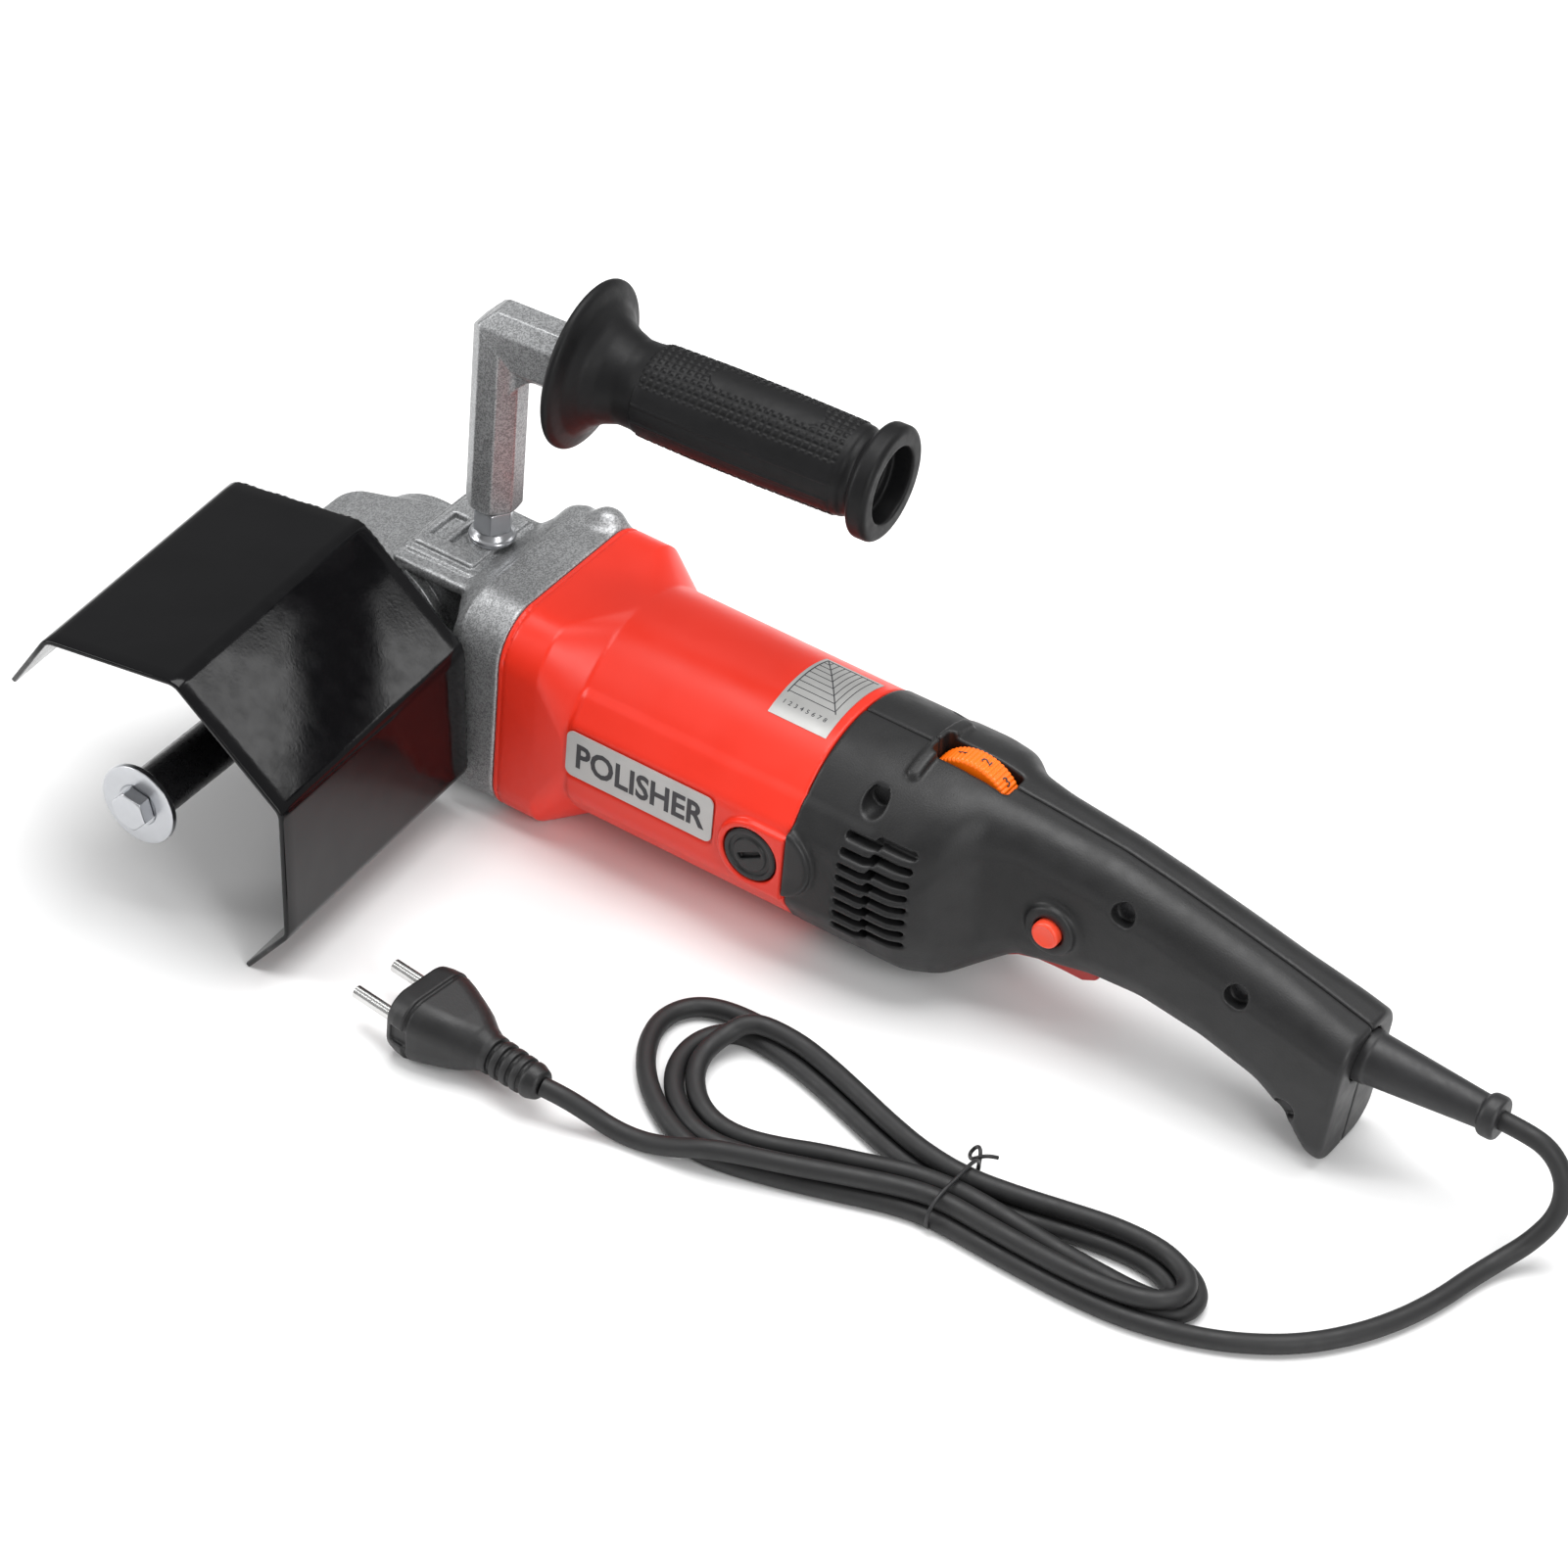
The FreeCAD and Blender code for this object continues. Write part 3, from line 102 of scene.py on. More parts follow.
def material(name, colour, rough, metal=0.0, mottle=0.06, mottle_mm=30.0, grain_mm=0.5, grain_depth=0.02,
             spread=0.06, sheen=0.5, fleck=0.0, fleck_mm=0.35, edge_brightening=0.0, wave=0.0):
    """A finish with uneven colour and gloss, a fine grain, and if asked for bright flecks or edges."""
    paint, tree, shader = nodes_of(name)
    make, link = tree.nodes.new, tree.links.new
    where = make("ShaderNodeTexCoord").outputs["Object"]

    def noise(size_mm, detail):
        node = make("ShaderNodeTexNoise")
        node.inputs["Scale"].default_value = 1 / (size_mm * MM)
        node.inputs["Detail"].default_value = detail
        link(where, node.inputs["Vector"])
        return node.outputs["Fac"]

    def spread_over(value, low, high):
        node = make("ShaderNodeMapRange")
        node.inputs["From Min"].default_value = 0.3
        node.inputs["From Max"].default_value = 0.7
        node.inputs["To Min"].default_value = low
        node.inputs["To Max"].default_value = high
        link(value, node.inputs["Value"])
        return node.outputs["Result"]

    def brighten(tint, factor):
        node = make("ShaderNodeVectorMath")
        node.operation = "SCALE"
        link(tint, node.inputs[0])
        link(factor, node.inputs["Scale"])
        return node.outputs["Vector"]

    base = make("ShaderNodeRGB")
    base.outputs[0].default_value = (*colour, 1)
    tint = brighten(base.outputs[0], spread_over(noise(mottle_mm, 3), 1 - mottle, 1 + mottle))
    if fleck:
        cells = make("ShaderNodeTexVoronoi")
        cells.inputs["Scale"].default_value = 1 / (fleck_mm * MM)
        link(where, cells.inputs["Vector"])
        tint = brighten(tint, spread_over(cells.outputs["Color"], 1 - fleck, 1 + fleck))
    # Sharp outward edges are made lighter in colour by the given share.
    if edge_brightening:
        edges = make("ShaderNodeNewGeometry").outputs["Pointiness"]
        node = make("ShaderNodeMapRange")
        node.inputs["From Min"].default_value = 0.5
        node.inputs["From Max"].default_value = 0.62
        node.inputs["To Min"].default_value = 1
        node.inputs["To Max"].default_value = 1 + edge_brightening
        link(edges, node.inputs["Value"])
        tint = brighten(tint, node.outputs["Result"])
    link(tint, shader.inputs["Base Color"])
    link(spread_over(noise(mottle_mm / 4, 4), rough - spread, rough + spread),
         shader.inputs["Roughness"])
    normal = None
    for size_mm, depth in ((grain_mm, grain_depth), (WAVE_MM, wave)):
        if depth:
            bump = make("ShaderNodeBump")
            bump.inputs["Distance"].default_value = depth * MM
            link(noise(size_mm, 2), bump.inputs["Height"])
            if normal:
                link(normal, bump.inputs["Normal"])
            normal = bump.outputs["Normal"]
    link(normal, shader.inputs["Normal"])
    shader.inputs["Metallic"].default_value = metal
    shader.inputs["Specular IOR Level"].default_value = sheen
    return paint


floor_mesh = bpy.data.meshes.new("floor")
reach = 6.0
floor_mesh.from_pydata([(-reach, -reach, 0), (reach, -reach, 0), (reach, reach, 0), (-reach, reach, 0)],
                       [], [(0, 1, 2, 3)])
floor = bpy.data.objects.new("floor", floor_mesh)
bpy.context.collection.objects.link(floor)
floor.data.materials.append(material("pale_floor", (0.9, 0.9, 0.9), 0.7, mottle=0.004, mottle_mm=400,
                                     grain_mm=3, grain_depth=0.01))

world = bpy.data.worlds.new("soft_room")
world.use_nodes = True
world.node_tree.nodes["Background"].inputs["Color"].default_value = (1, 1, 1, 1)
world.node_tree.nodes["Background"].inputs["Strength"].default_value = 0.36
bpy.context.scene.world = world


def soft_box(name, spot, aim, size, power):
    """A square area light at a spot in metres, turned to its aim."""
    lamp = bpy.data.lights.new(name, "AREA")
    lamp.shape = "RECTANGLE"
    lamp.size, lamp.size_y = size
    lamp.energy = power
    holder = bpy.data.objects.new(name, lamp)
    bpy.context.collection.objects.link(holder)
    holder.location = spot
    holder.rotation_euler = (Vector(aim) - Vector(spot)).to_track_quat("-Z", "Y").to_euler()


soft_box("top_light", (-0.1, 0.3, 2.0), (0, 0, 0), (1.8, 1.4), 46)
soft_box("left_light", (-1.6, -0.9, 0.9), (0, 0, 0.05), (0.5, 1.3), 16)
soft_box("band_light", (0.75, 1.15, 1.05), (-0.2, -0.05, 0.09), (0.16, 0.9), 2.2)
soft_box("right_light", (1.5, -0.7, 1.0), (0, 0, 0.05), (0.5, 1.2), 14)


# ---------------------------------------------------------------- mains lead
LEAD_SIZE = 7.0
LEAD_DOWN = [(448, 0, -0.5), (460, 0, -0.5), (471, 0.6, -3.5), (478.5, -0.6, -12.5), (480, -4.2, -24),
             (475, -11.5, -34), (468.6, -21.5, -39.4)]
# Where the lead lies on the floor, along and across; its middle is half its size up.
ON_FLOOR = [(464.5, -34), (461.5, -48), (456, -64), (447.5, -80), (435, -95.5), (419, -107.5),
            (402, -115.5),
            (384, -120.4), (366, -122), (347, -122), (328, -121.2), (309, -120), (294, -122.6),
            (277, -129), (258, -135.8), (240, -141), (228, -142.6), (216, -139), (204, -132),
            (193, -122.5), (185, -111), (181, -99.5), (181.8, -89.5), (187, -81.8), (196, -77.8),
            (209, -76.8), (223, -78.3), (238, -81.5), (255, -86.8), (272, -92.5), (290, -97.2),
            (309, -98.8), (328, -95.8), (346, -90.8), (363, -87.3), (379, -87), (391, -90.6),
            (397.8, -97), (398.8, -104), (394.5, -110.3), (384, -113.6),
            (366, -115), (347, -115), (328, -114.2), (309, -113), (294, -115.6), (277, -122),
            (258, -128.8), (242, -133.6), (230, -135.6), (220.5, -134), (211.5, -129),
            (203.5, -121.5), (198, -112), (196.3, -101.5), (198.5, -92), (204.5, -85.8),
            (213.5, -83.8), (226, -85.4), (240, -88.8), (256, -94), (272, -99.6), (290, -104.2),
            (309, -106), (328, -103), (346, -98.3), (362, -94.8), (376, -94.2), (385.5, -97),
            (391, -101.8), (389, -106.8), (380, -108.2), (366, -108)]
# The last turn climbs on to the others, and the end comes down to the plug.
ON_TURNS = [(350, -108.2, -39.5), (335, -108.8, -37), (322, -109.3, -35), (309, -109.5, -34.4),
            (294, -111.6, -34.6), (278, -116.2, -36), (262, -119.8, -38), (248, -124.2, -40),
            (236, -127.5, -40.5), (225, -127.3, -40.5), (215.5, -123, -40), (208.5, -116, -39.5),
            (204, -107.5, -38.5), (203.3, -98.5, -37.5), (205.5, -90.5, -36), (208.5, -86, -33.8),
            (214, -82.5, -33.6), (228, -81.8, -34.4), (242, -85.2, -34.4), (258, -90.4, -34.4),
            (274, -96, -34.4), (291, -100.8, -34.4), (309, -102.5, -34.4), (328, -99.3, -34.4),
            (346, -95, -34.4), (362, -91.5, -34.4), (378, -91, -34.4), (389, -94.5, -34.4),
            (394.8, -100, -34.4), (395.5, -106.5, -34.4), (391, -112.5, -34.4), (382, -116.5, -34.4),
            (366, -118.6, -34.4), (347, -118.6, -34.4), (328, -117.8, -34.4), (309, -116.5, -34.4),
            (296, -119.5, -34), (277, -127.5, -33.6), (258.4, -135.5, -33.5), (246, -140, -33.5),
            (233, -145.2, -34), (222, -148, -38), (211, -150, -40.5), (200, -151.5, -40),
            (190, -153.8, -35.5), (181.5, -156.2, -31.8), (174.4, -157.2, -31)]
LEAD_ROUTE = LEAD_DOWN + [(*spot, FLOOR + LEAD_SIZE / 2) for spot in ON_FLOOR] + ON_TURNS


def spline_object(name, spots, thick):
    """A round wire, in drawing millimetres, along one smooth spline."""
    curve = bpy.data.curves.new(name, "CURVE")
    curve.dimensions = "3D"
    curve.bevel_depth = thick / 2 * MM
    curve.bevel_resolution = 6
    curve.use_fill_caps = True
    curve.resolution_u = 8
    line = curve.splines.new("NURBS")
    line.points.add(len(spots) - 1)
    for point, spot in zip(line.points, spots):
        point.co = (*place(*spot), 1)
    line.order_u = 3
    line.use_endpoint_u = True
    wire = bpy.data.objects.new(name, curve)
    bpy.context.collection.objects.link(wire)
    return wire


def follow(wire):
    """The spots along a wire's smooth spline, in drawing millimetres."""
    thick, wire.data.bevel_depth = wire.data.bevel_depth, 0
    bpy.context.view_layer.update()
    line = bpy.data.meshes.new_from_object(wire)
    spots = [(corner.co - ZERO) / MM for corner in line.vertices]
    wire.data.bevel_depth = thick
    bpy.data.meshes.remove(line)
    return spots


lead = spline_object("mains_cable", LEAD_ROUTE, LEAD_SIZE)
lead_spots = follow(lead)
lead_length = sum((b - a).length for a, b in zip(lead_spots, lead_spots[1:])) * MM


# ---------------------------------------------------------------- shapes as distance fields
def disc(a, b, radius):
    """Distance from a round outline."""
    return np.hypot(a, b) - radius


def rounded(a, b, half_a, half_b, corner):
    """Distance from a rectangle's outline with round corners."""
    over_a, over_b = np.abs(a) - half_a + corner, np.abs(b) - half_b + corner
    return (np.hypot(np.maximum(over_a, 0), np.maximum(over_b, 0))
            + np.minimum(np.maximum(over_a, over_b), 0) - corner)


def polygon(a, b, flats, sides, turn=0.0):
    """Distance from a regular outline measured across its flats."""
    angles = turn + 2 * math.pi * np.arange(sides) / sides
    return np.maximum.reduce([a * math.cos(t) + b * math.sin(t) for t in angles]) - flats / 2


def slab(outline, across, half, edge=0.0):
    """An outline carried a half thickness each way, with its edges rounded."""
    over_a, over_b = outline + edge, np.abs(across) - half + edge
    return (np.hypot(np.maximum(over_a, 0), np.maximum(over_b, 0))
            + np.minimum(np.maximum(over_a, over_b), 0) - edge)


def ball(x, y, z, spot, radius):
    """Distance from a sphere."""
    return np.sqrt((x - spot[0]) ** 2 + (y - spot[1]) ** 2 + (z - spot[2]) ** 2) - radius


def blend(fillet, first, *others):
    """The shapes joined, with a fillet where they meet."""
    for other in others:
        near = np.maximum(fillet - np.abs(first - other), 0) / fillet
        first = np.minimum(first, other) - near * near * fillet / 4
    return first


def carve(edge, first, *tools):
    """The first shape with the tools cut out of it, and its new edges rounded."""
    return -blend(edge, -first, *tools)


def overlap(edge, first, second):
    """What is inside both shapes."""
    return -blend(edge, -first, -second)


def ease(value, start, end):
    """0 before the start and 1 after the end, with a smooth change between."""
    share = np.clip((value - start) / (end - start), 0, 1)
    return share * share * (3 - 2 * share)


def mix(first, second, share):
    """A value part of the way from the first to the second."""
    return first + (second - first) * share


CORNERS = [np.array((i, j, k)) for i in (0, 1) for j in (0, 1) for k in (0, 1)]
EDGES = [(a, b) for a in CORNERS for b in CORNERS if (b - a).sum() == 1 and (b - a).min() == 0]


def settle(field, spots, reach):
    """Moves spots along the field's slope on to its surface."""
    x, y, z = spots.T
    gap = 0.02
    slope = np.stack([field(x + gap, y, z) - field(x - gap, y, z),
                      field(x, y + gap, z) - field(x, y - gap, z),
                      field(x, y, z + gap) - field(x, y, z - gap)], 1) / (2 * gap)
    move = -slope * (field(x, y, z) / np.maximum((slope ** 2).sum(1), 0.1))[:, None]
    length = np.maximum(np.linalg.norm(move, axis=1), 1e-9)
    return spots + move * np.minimum(1, reach / length)[:, None]


def surface(field, low, high, step):
    """Corners and four-sided faces of the surface on which a field is zero."""
    lines = [np.arange(a - 2 * step, b + 3 * step, step) for a, b in zip(low, high)]
    x, y, z = np.meshgrid(*lines, indexing="ij", sparse=True)
    value = field(x, y, z) + 0 * (x + y + z)
    inside = value < 0
    size = [count - 1 for count in value.shape]
    within = sum(inside[i:i + size[0], j:j + size[1], k:k + size[2]].astype(np.int8)
                 for i, j, k in CORNERS)
    cells = np.argwhere((within > 0) & (within < 8))
    number = np.full(size, -1)
    number[tuple(cells.T)] = np.arange(len(cells))
    total, hits = np.zeros((len(cells), 3)), np.zeros(len(cells))
    for a, b in EDGES:
        first, last = value[tuple((cells + a).T)], value[tuple((cells + b).T)]
        crossed = (first < 0) != (last < 0)
        share = np.where(crossed, first / np.where(crossed, first - last, 1), 0)
        total += np.where(crossed[:, None], cells + a + share[:, None] * (b - a), 0)
        hits += crossed
    spots = total / hits[:, None] * step + [line[0] for line in lines]
    for _ in range(2):
        spots = settle(field, spots, 0.6 * step)
    faces = []
    for axis in range(3):
        order = (axis, (axis + 1) % 3, (axis + 2) % 3)
        flags, labels = inside.transpose(order), number.transpose(order)
        i, j, k = (np.argwhere(flags[:-1, 1:-1, 1:-1] != flags[1:, 1:-1, 1:-1]) + (0, 1, 1)).T
        ring = np.stack([labels[i, j - 1, k - 1], labels[i, j, k - 1], labels[i, j, k],
                         labels[i, j - 1, k]], 1)
        turned_over = ~flags[i, j, k]
        ring[turned_over] = ring[turned_over][:, ::-1]
        faces.append(ring)
    return spots, np.concatenate(faces)


def swing(spots, degrees, along=0.0, across=0.0):
    """Spots turned about an upright line."""
    angle = math.radians(degrees)
    x, y, z = np.asarray(spots, float).T
    x, y = x - along, y - across
    return np.stack([along + x * math.cos(angle) - y * math.sin(angle),
                     across + x * math.sin(angle) + y * math.cos(angle), z], 1)


def mesh_object(name, spots, faces, smooth=True):
    """An object from spots in drawing millimetres."""
    mesh = bpy.data.meshes.new(name)
    mesh.from_pydata(np.asarray(spots) * MM + np.array(ZERO), [],
                     faces.tolist() if isinstance(faces, np.ndarray) else faces)
    mesh.polygons.foreach_set("use_smooth", [smooth] * len(mesh.polygons))
    mesh.update()
    thing = bpy.data.objects.new(name, mesh)
    bpy.context.collection.objects.link(thing)
    return thing


def shaped(name, field, low, high, step, turn=0.0, about=(0.0, 0.0)):
    """An object whose surface is where a field is zero, turned about an upright line."""
    spots, faces = surface(field, low, high, step)
    return mesh_object(name, swing(spots, turn, *about), faces)


def lathe(name, profile, axis, start, around=96, relief=None, turn=0.0, about=(0.0, 0.0)):
    """A turned piece. The profile is (distance, radius) along the axis from its start."""
    profile = np.array(profile, float)
    angles = 2 * math.pi * np.arange(around) / around
    far, angle = np.meshgrid(profile[:, 0], angles, indexing="ij")
    radius = np.repeat(profile[:, 1:2], around, 1)
    if relief:
        radius = radius + relief(far, angle, radius)
    one, other = radius * np.cos(angle), radius * np.sin(angle)
    sides = {"x": (far, one, other), "y": (other, far, one), "z": (one, other, far),
             "-y": (one, -far, other)}[axis]
    spots = np.stack([side.ravel() for side in sides], 1) + start
    rows, columns = len(profile), around
    faces = [(row * columns + col, row * columns + (col + 1) % columns,
              (row + 1) * columns + (col + 1) % columns, (row + 1) * columns + col)
             for row in range(rows - 1) for col in range(columns)]
    thing = mesh_object(name, swing(spots, turn, *about), faces)
    work = bmesh.new()
    work.from_mesh(thing.data)
    bmesh.ops.remove_doubles(work, verts=work.verts, dist=1e-6)
    bmesh.ops.holes_fill(work, edges=[edge for edge in work.edges if edge.is_boundary])
    bmesh.ops.recalc_face_normals(work, faces=work.faces)
    work.to_mesh(thing.data)
    work.free()
    return thing


def rounded_profile(corners, radius=0.5):
    """A lathe profile with a small arc in place of each inner corner."""
    result = [corners[0]]
    for before, here, after in zip(corners, corners[1:], corners[2:]):
        here, one, two = np.array(here), np.array(before, float), np.array(after, float)
        reach = min(radius, 0.45 * np.linalg.norm(one - here), 0.45 * np.linalg.norm(two - here))
        one = here + (one - here) / np.linalg.norm(one - here) * reach
        two = here + (two - here) / np.linalg.norm(two - here) * reach
        for share in (0, 0.25, 0.5, 0.75, 1):
            result.append(tuple((1 - share) ** 2 * one + 2 * share * (1 - share) * here + share ** 2 * two))
    return result + [corners[-1]]


def divided(profile, gap):
    """A lathe profile with no two spots further apart than the gap."""
    result = [profile[0]]
    for before, after in zip(profile, profile[1:]):
        count = max(1, math.ceil(math.dist(before, after) / gap))
        result += [tuple(mix(np.array(before), np.array(after), n / count)) for n in range(1, count + 1)]
    return result


# ---------------------------------------------------------------- finishes
cast = material("cast_paint", (0.3, 0.305, 0.31), 0.4, metal=0.6, mottle=0.05, mottle_mm=12,
                grain_mm=0.7, grain_depth=0.06, fleck=0.3, fleck_mm=0.45, edge_brightening=0.25)
powder = material("powder_coat", (0.004, 0.004, 0.0045), 0.12, mottle=0.1, mottle_mm=25, grain_mm=1.3,
                  grain_depth=0.012, spread=0.04, sheen=0.22, wave=0.45)
cover_black = material("cover_black", (0.012, 0.012, 0.012), 0.4, mottle=0.2, mottle_mm=8,
                       grain_mm=0.8, grain_depth=0.05, edge_brightening=0.8)
zinc = material("bright_zinc", (0.5, 0.51, 0.53), 0.3, metal=1.0, mottle=0.03, mottle_mm=5,
                grain_mm=0.3, grain_depth=0.002, spread=0.02)
steel = material("ground_steel", (0.5, 0.5, 0.51), 0.28, metal=1.0, mottle=0.08, mottle_mm=9,
                 grain_mm=0.25, grain_depth=0.008)
sleeve_steel = material("oiled_sleeve", (0.03, 0.03, 0.032), 0.3, metal=0.6, mottle=0.2, mottle_mm=9,
                        grain_mm=0.4, grain_depth=0.015, spread=0.1)
red_plastic = material("red_plastic", (0.8, 0.03, 0.012), 0.34, mottle=0.03, mottle_mm=60,
                       grain_mm=0.55, grain_depth=0.012, spread=0.05, sheen=0.4)
black_plastic = material("black_plastic", (0.012, 0.012, 0.0125), 0.46, mottle=0.1, mottle_mm=30,
                         grain_mm=0.7, grain_depth=0.05, spread=0.06, sheen=0.4, edge_brightening=0.5)
rubber = material("grip_rubber", (0.005, 0.005, 0.0055), 0.5, mottle=0.12, mottle_mm=18, grain_mm=0.6,
                  grain_depth=0.03, spread=0.06, sheen=0.22, edge_brightening=0.3)
boot_rubber = material("boot_rubber", (0.012, 0.012, 0.013), 0.5, mottle=0.1, mottle_mm=12,
                       grain_mm=0.6, grain_depth=0.02)
lead_rubber = material("lead_rubber", (0.01, 0.01, 0.0105), 0.56, mottle=0.15, mottle_mm=20,
                       grain_mm=0.5, grain_depth=0.02)
label = material("label_silver", (0.46, 0.46, 0.45), 0.36, metal=0.4, mottle=0.04, mottle_mm=10,
                 grain_mm=0.25, grain_depth=0.006)
dark_ink = material("dark_ink", (0.03, 0.03, 0.035), 0.5, mottle=0.1, grain_mm=0.3, grain_depth=0.01)
orange = material("orange_plastic", (1.0, 0.16, 0.0), 0.42, mottle=0.04, mottle_mm=12, grain_mm=0.5,
                  grain_depth=0.02, edge_brightening=0.1)
button_red = material("button_red", (0.88, 0.07, 0.03), 0.36, mottle=0.04, mottle_mm=6, grain_mm=0.4,
                      grain_depth=0.02)
trigger_red = material("trigger_red", (0.42, 0.02, 0.015), 0.4, mottle=0.06, mottle_mm=12,
                       grain_mm=0.5, grain_depth=0.02)
brass = material("brass", (0.6, 0.4, 0.13), 0.34, metal=1.0, mottle=0.1, mottle_mm=6)
copper = material("copper", (0.6, 0.22, 0.09), 0.35, metal=1.0, mottle=0.12, mottle_mm=3, grain_mm=0.4,
                  grain_depth=0.1)
carbon = material("carbon", (0.04, 0.04, 0.042), 0.6, mottle=0.15, mottle_mm=2)
iron = material("core_iron", (0.16, 0.165, 0.18), 0.5, metal=0.7, mottle=0.15, mottle_mm=6,
                grain_mm=0.5, grain_depth=0.04)
inner_plastic = material("inner_plastic", (0.1, 0.1, 0.1), 0.5, mottle=0.1, mottle_mm=12)
chrome = material("pin_chrome", (0.62, 0.62, 0.61), 0.2, metal=1.0, mottle=0.02, mottle_mm=5,
                  grain_mm=0.3, grain_depth=0.001, spread=0.02)
screw_black = material("screw_black", (0.03, 0.03, 0.032), 0.32, metal=0.5, mottle=0.1, mottle_mm=4)

FINISH_OF_SLOT = {"cast_head": cast, "guard_black": powder, "bright_zinc": zinc, "machined_steel": steel,
                  "core_iron": iron, "copper_wire": copper, "carbon": carbon, "holder_brass": brass,
                  "inner_plastic": inner_plastic, "housing_red": red_plastic,
                  "handle_black": black_plastic, "black_screws": screw_black, "label_silver": label,
                  "dial_orange": orange, "button_orange": button_red, "trigger_red": trigger_red,
                  "grip_rubber": rubber, "sleeve_rubber": boot_rubber, "lead_rubber": lead_rubber,
                  "plug_black": black_plastic, "pin_chrome": chrome}
for subpart in frame["record"]["subparts"]:
    node = frame["nodes"][subpart["node"]]
    node.data.materials.clear()
    node.data.materials.append(FINISH_OF_SLOT[subpart["material_slot"]])
frame["nodes"]["arbor_sleeve"].data.materials[0] = sleeve_steel


def put(piece, body, slot, finish, *nodes):
    """Gives a piece its finish and body, and hides the nodes that it stands for."""
    piece.data.materials.clear()
    piece.data.materials.append(finish)
    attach(piece, body)
    if nodes:
        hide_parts(*nodes)
    return piece


# ---------------------------------------------------------------- gear head
STUD_ALONG = 35


def head_field(x, y, z):
    """Cast head: gear drum, neck growing to the square flange, wedge top, deck and pad."""
    drum_radius = np.interp(np.asarray(y, float), [-30, 19.5, 33, 36], [32.4, 31.4, 18.5, 17])
    drum = slab(np.hypot(x, z + 3) - drum_radius, y - 2, 32, 3)
    grown = ease(x, 30, 53)
    neck_half = mix(33, 43.4, grown)
    neck = slab(rounded(y, z, neck_half, neck_half, mix(30, 18.6, grown)), x - 34, 23, 3)
    flange = slab(rounded(y, z, 44, 44, 19), x - 61, 9, 0.8)
    wedge = slab(rounded(x - 4, y + 8, 42, 21, 8), z - 4.2, 34.2, 2)
    wedge = overlap(0.8, wedge, (z - 31 - 0.29 * x) / 1.04)
    deck = slab(rounded(x - 33, y + 4.2, 22.5, 24.2, 4), z - 22, 16.4, 0.6)
    shape = blend(1.5, blend(3, blend(5, drum, neck), wedge), deck)
    shape = overlap(0.3, blend(2, shape, flange), rounded(y, z, 44, 44, 19))
    pad = slab(rounded(x - 27, y + 1.5, 13, 17.5, 1.5), z - 37.1, 3.9, 0.3)
    step = slab(rounded(x - 27, y + 2.5, 14.6, 20, 1.5), z - 36, 3.6, 0.3)
    pockets = [slab(rounded(x - across, y + 4.5, 3, 7.5, 0.6), z - 41, 2.4, 0.2) for across in (19.5, 27.8)]
    pockets[1] = np.maximum(pockets[1], 8.8 - np.hypot(x - STUD_ALONG, y))
    shape = carve(0.3, np.minimum(np.minimum(shape, step), pad), *pockets)
    bumps = [ball(x, y, z, (51, 30, 35.5), 7.5), overlap(1, ball(x, y, z, (63, 31, 40), 7.5), x - 69.5)]
    shape = blend(3, shape, *bumps)
    under_deck = slab(rounded(x - 26, z - 21.5, 22, 13.5, 2), y + 36, 11.5, 0.4)
    return carve(0.5, shape, np.maximum(under_deck, 39 - np.hypot(x, z)))


head = shaped("head_casting", head_field, (-42, -45, -45), (71, 45, 51), 0.75)
put(head, "housing", "cast_head", cast, "gear_head")


def cover_field(x, y, z):
    """Bearing cover with a ribbed rim and the round neck that holds the guard."""
    rim = slab(disc(x, z, 37.8), y + 34, 4, 1.2)
    neck = slab(disc(x, z, 24), y + 41, 11.4, 0.6)
    ribs = [slab(rounded(x * math.cos(t) + z * math.sin(t) - 30, z * math.cos(t) - x * math.sin(t),
                         6.5, 1.2, 0.6), y + 37, 3.2, 0.6)
            for t in (math.radians(angle) for angle in range(0, 360, 30))]
    return blend(1.5, rim, neck, *ribs)


cover = shaped("cover_casting", cover_field, (-39, -54, -39), (39, -29, 39), 0.7)
put(cover, "housing", "guard_black", cover_black, "bearing_cover")


# ---------------------------------------------------------------- motor housing
# Where the housing meets the handle, and the brushes' place, along the motor.
JOINT, BRUSH_ALONG = 194, 180


def side_panel(y, z):
    """Outline of the flat panel that stands out at each side of the barrel."""
    upright = rounded(y, z, 43.7, 26.4, 2.5)
    slope = math.radians(35)
    return overlap(2, upright, np.abs(y) * math.cos(slope) + np.abs(z) * math.sin(slope) - 44.6)


def housing_field(x, y, z):
    """Square bell over the fan, round barrel, side panels and brush bosses."""
    change = np.clip((x - 87) / 14, 0, 1)
    half = mix(44, 43.5, change)
    shell = slab(rounded(y, z, half, half, mix(19, 43, change)), x - 132, 61.8, 0.8)
    panel = slab(side_panel(y, z), x - 150, 50, 3)
    shape = blend(1.5, shell, overlap(0.6, panel, x - JOINT + 0.2))
    boss = overlap(0.6, slab(np.hypot(np.minimum(x - BRUSH_ALONG, 0), z) - 13.8, y, 46, 1.2), x - JOINT + 0.2)
    shape = blend(1.2, shape, boss)
    well = slab(disc(x - BRUSH_ALONG, z, 11.2), np.abs(y) - 46, 4.4, 0.3)
    recess = slab(rounded(x - 131.5, z - 4.6, 31.6, 10.8, 2.2), np.abs(y) - 44.4, 1.2, 0.2)
    lip = slab(disc(y, z, 60), x - 71, 1.5)
    groove = np.maximum(np.abs(x - 72.2) - 0.5, -rounded(y, z, 43.4, 43.4, 18.6))
    return carve(0.5, shape, well, recess, np.maximum(groove, lip))


red = shaped("motor_shell", housing_field, (69, -48, -45), (195, 48, 45), 0.8)
put(red, "housing", "housing_red", red_plastic, "motor_housing")

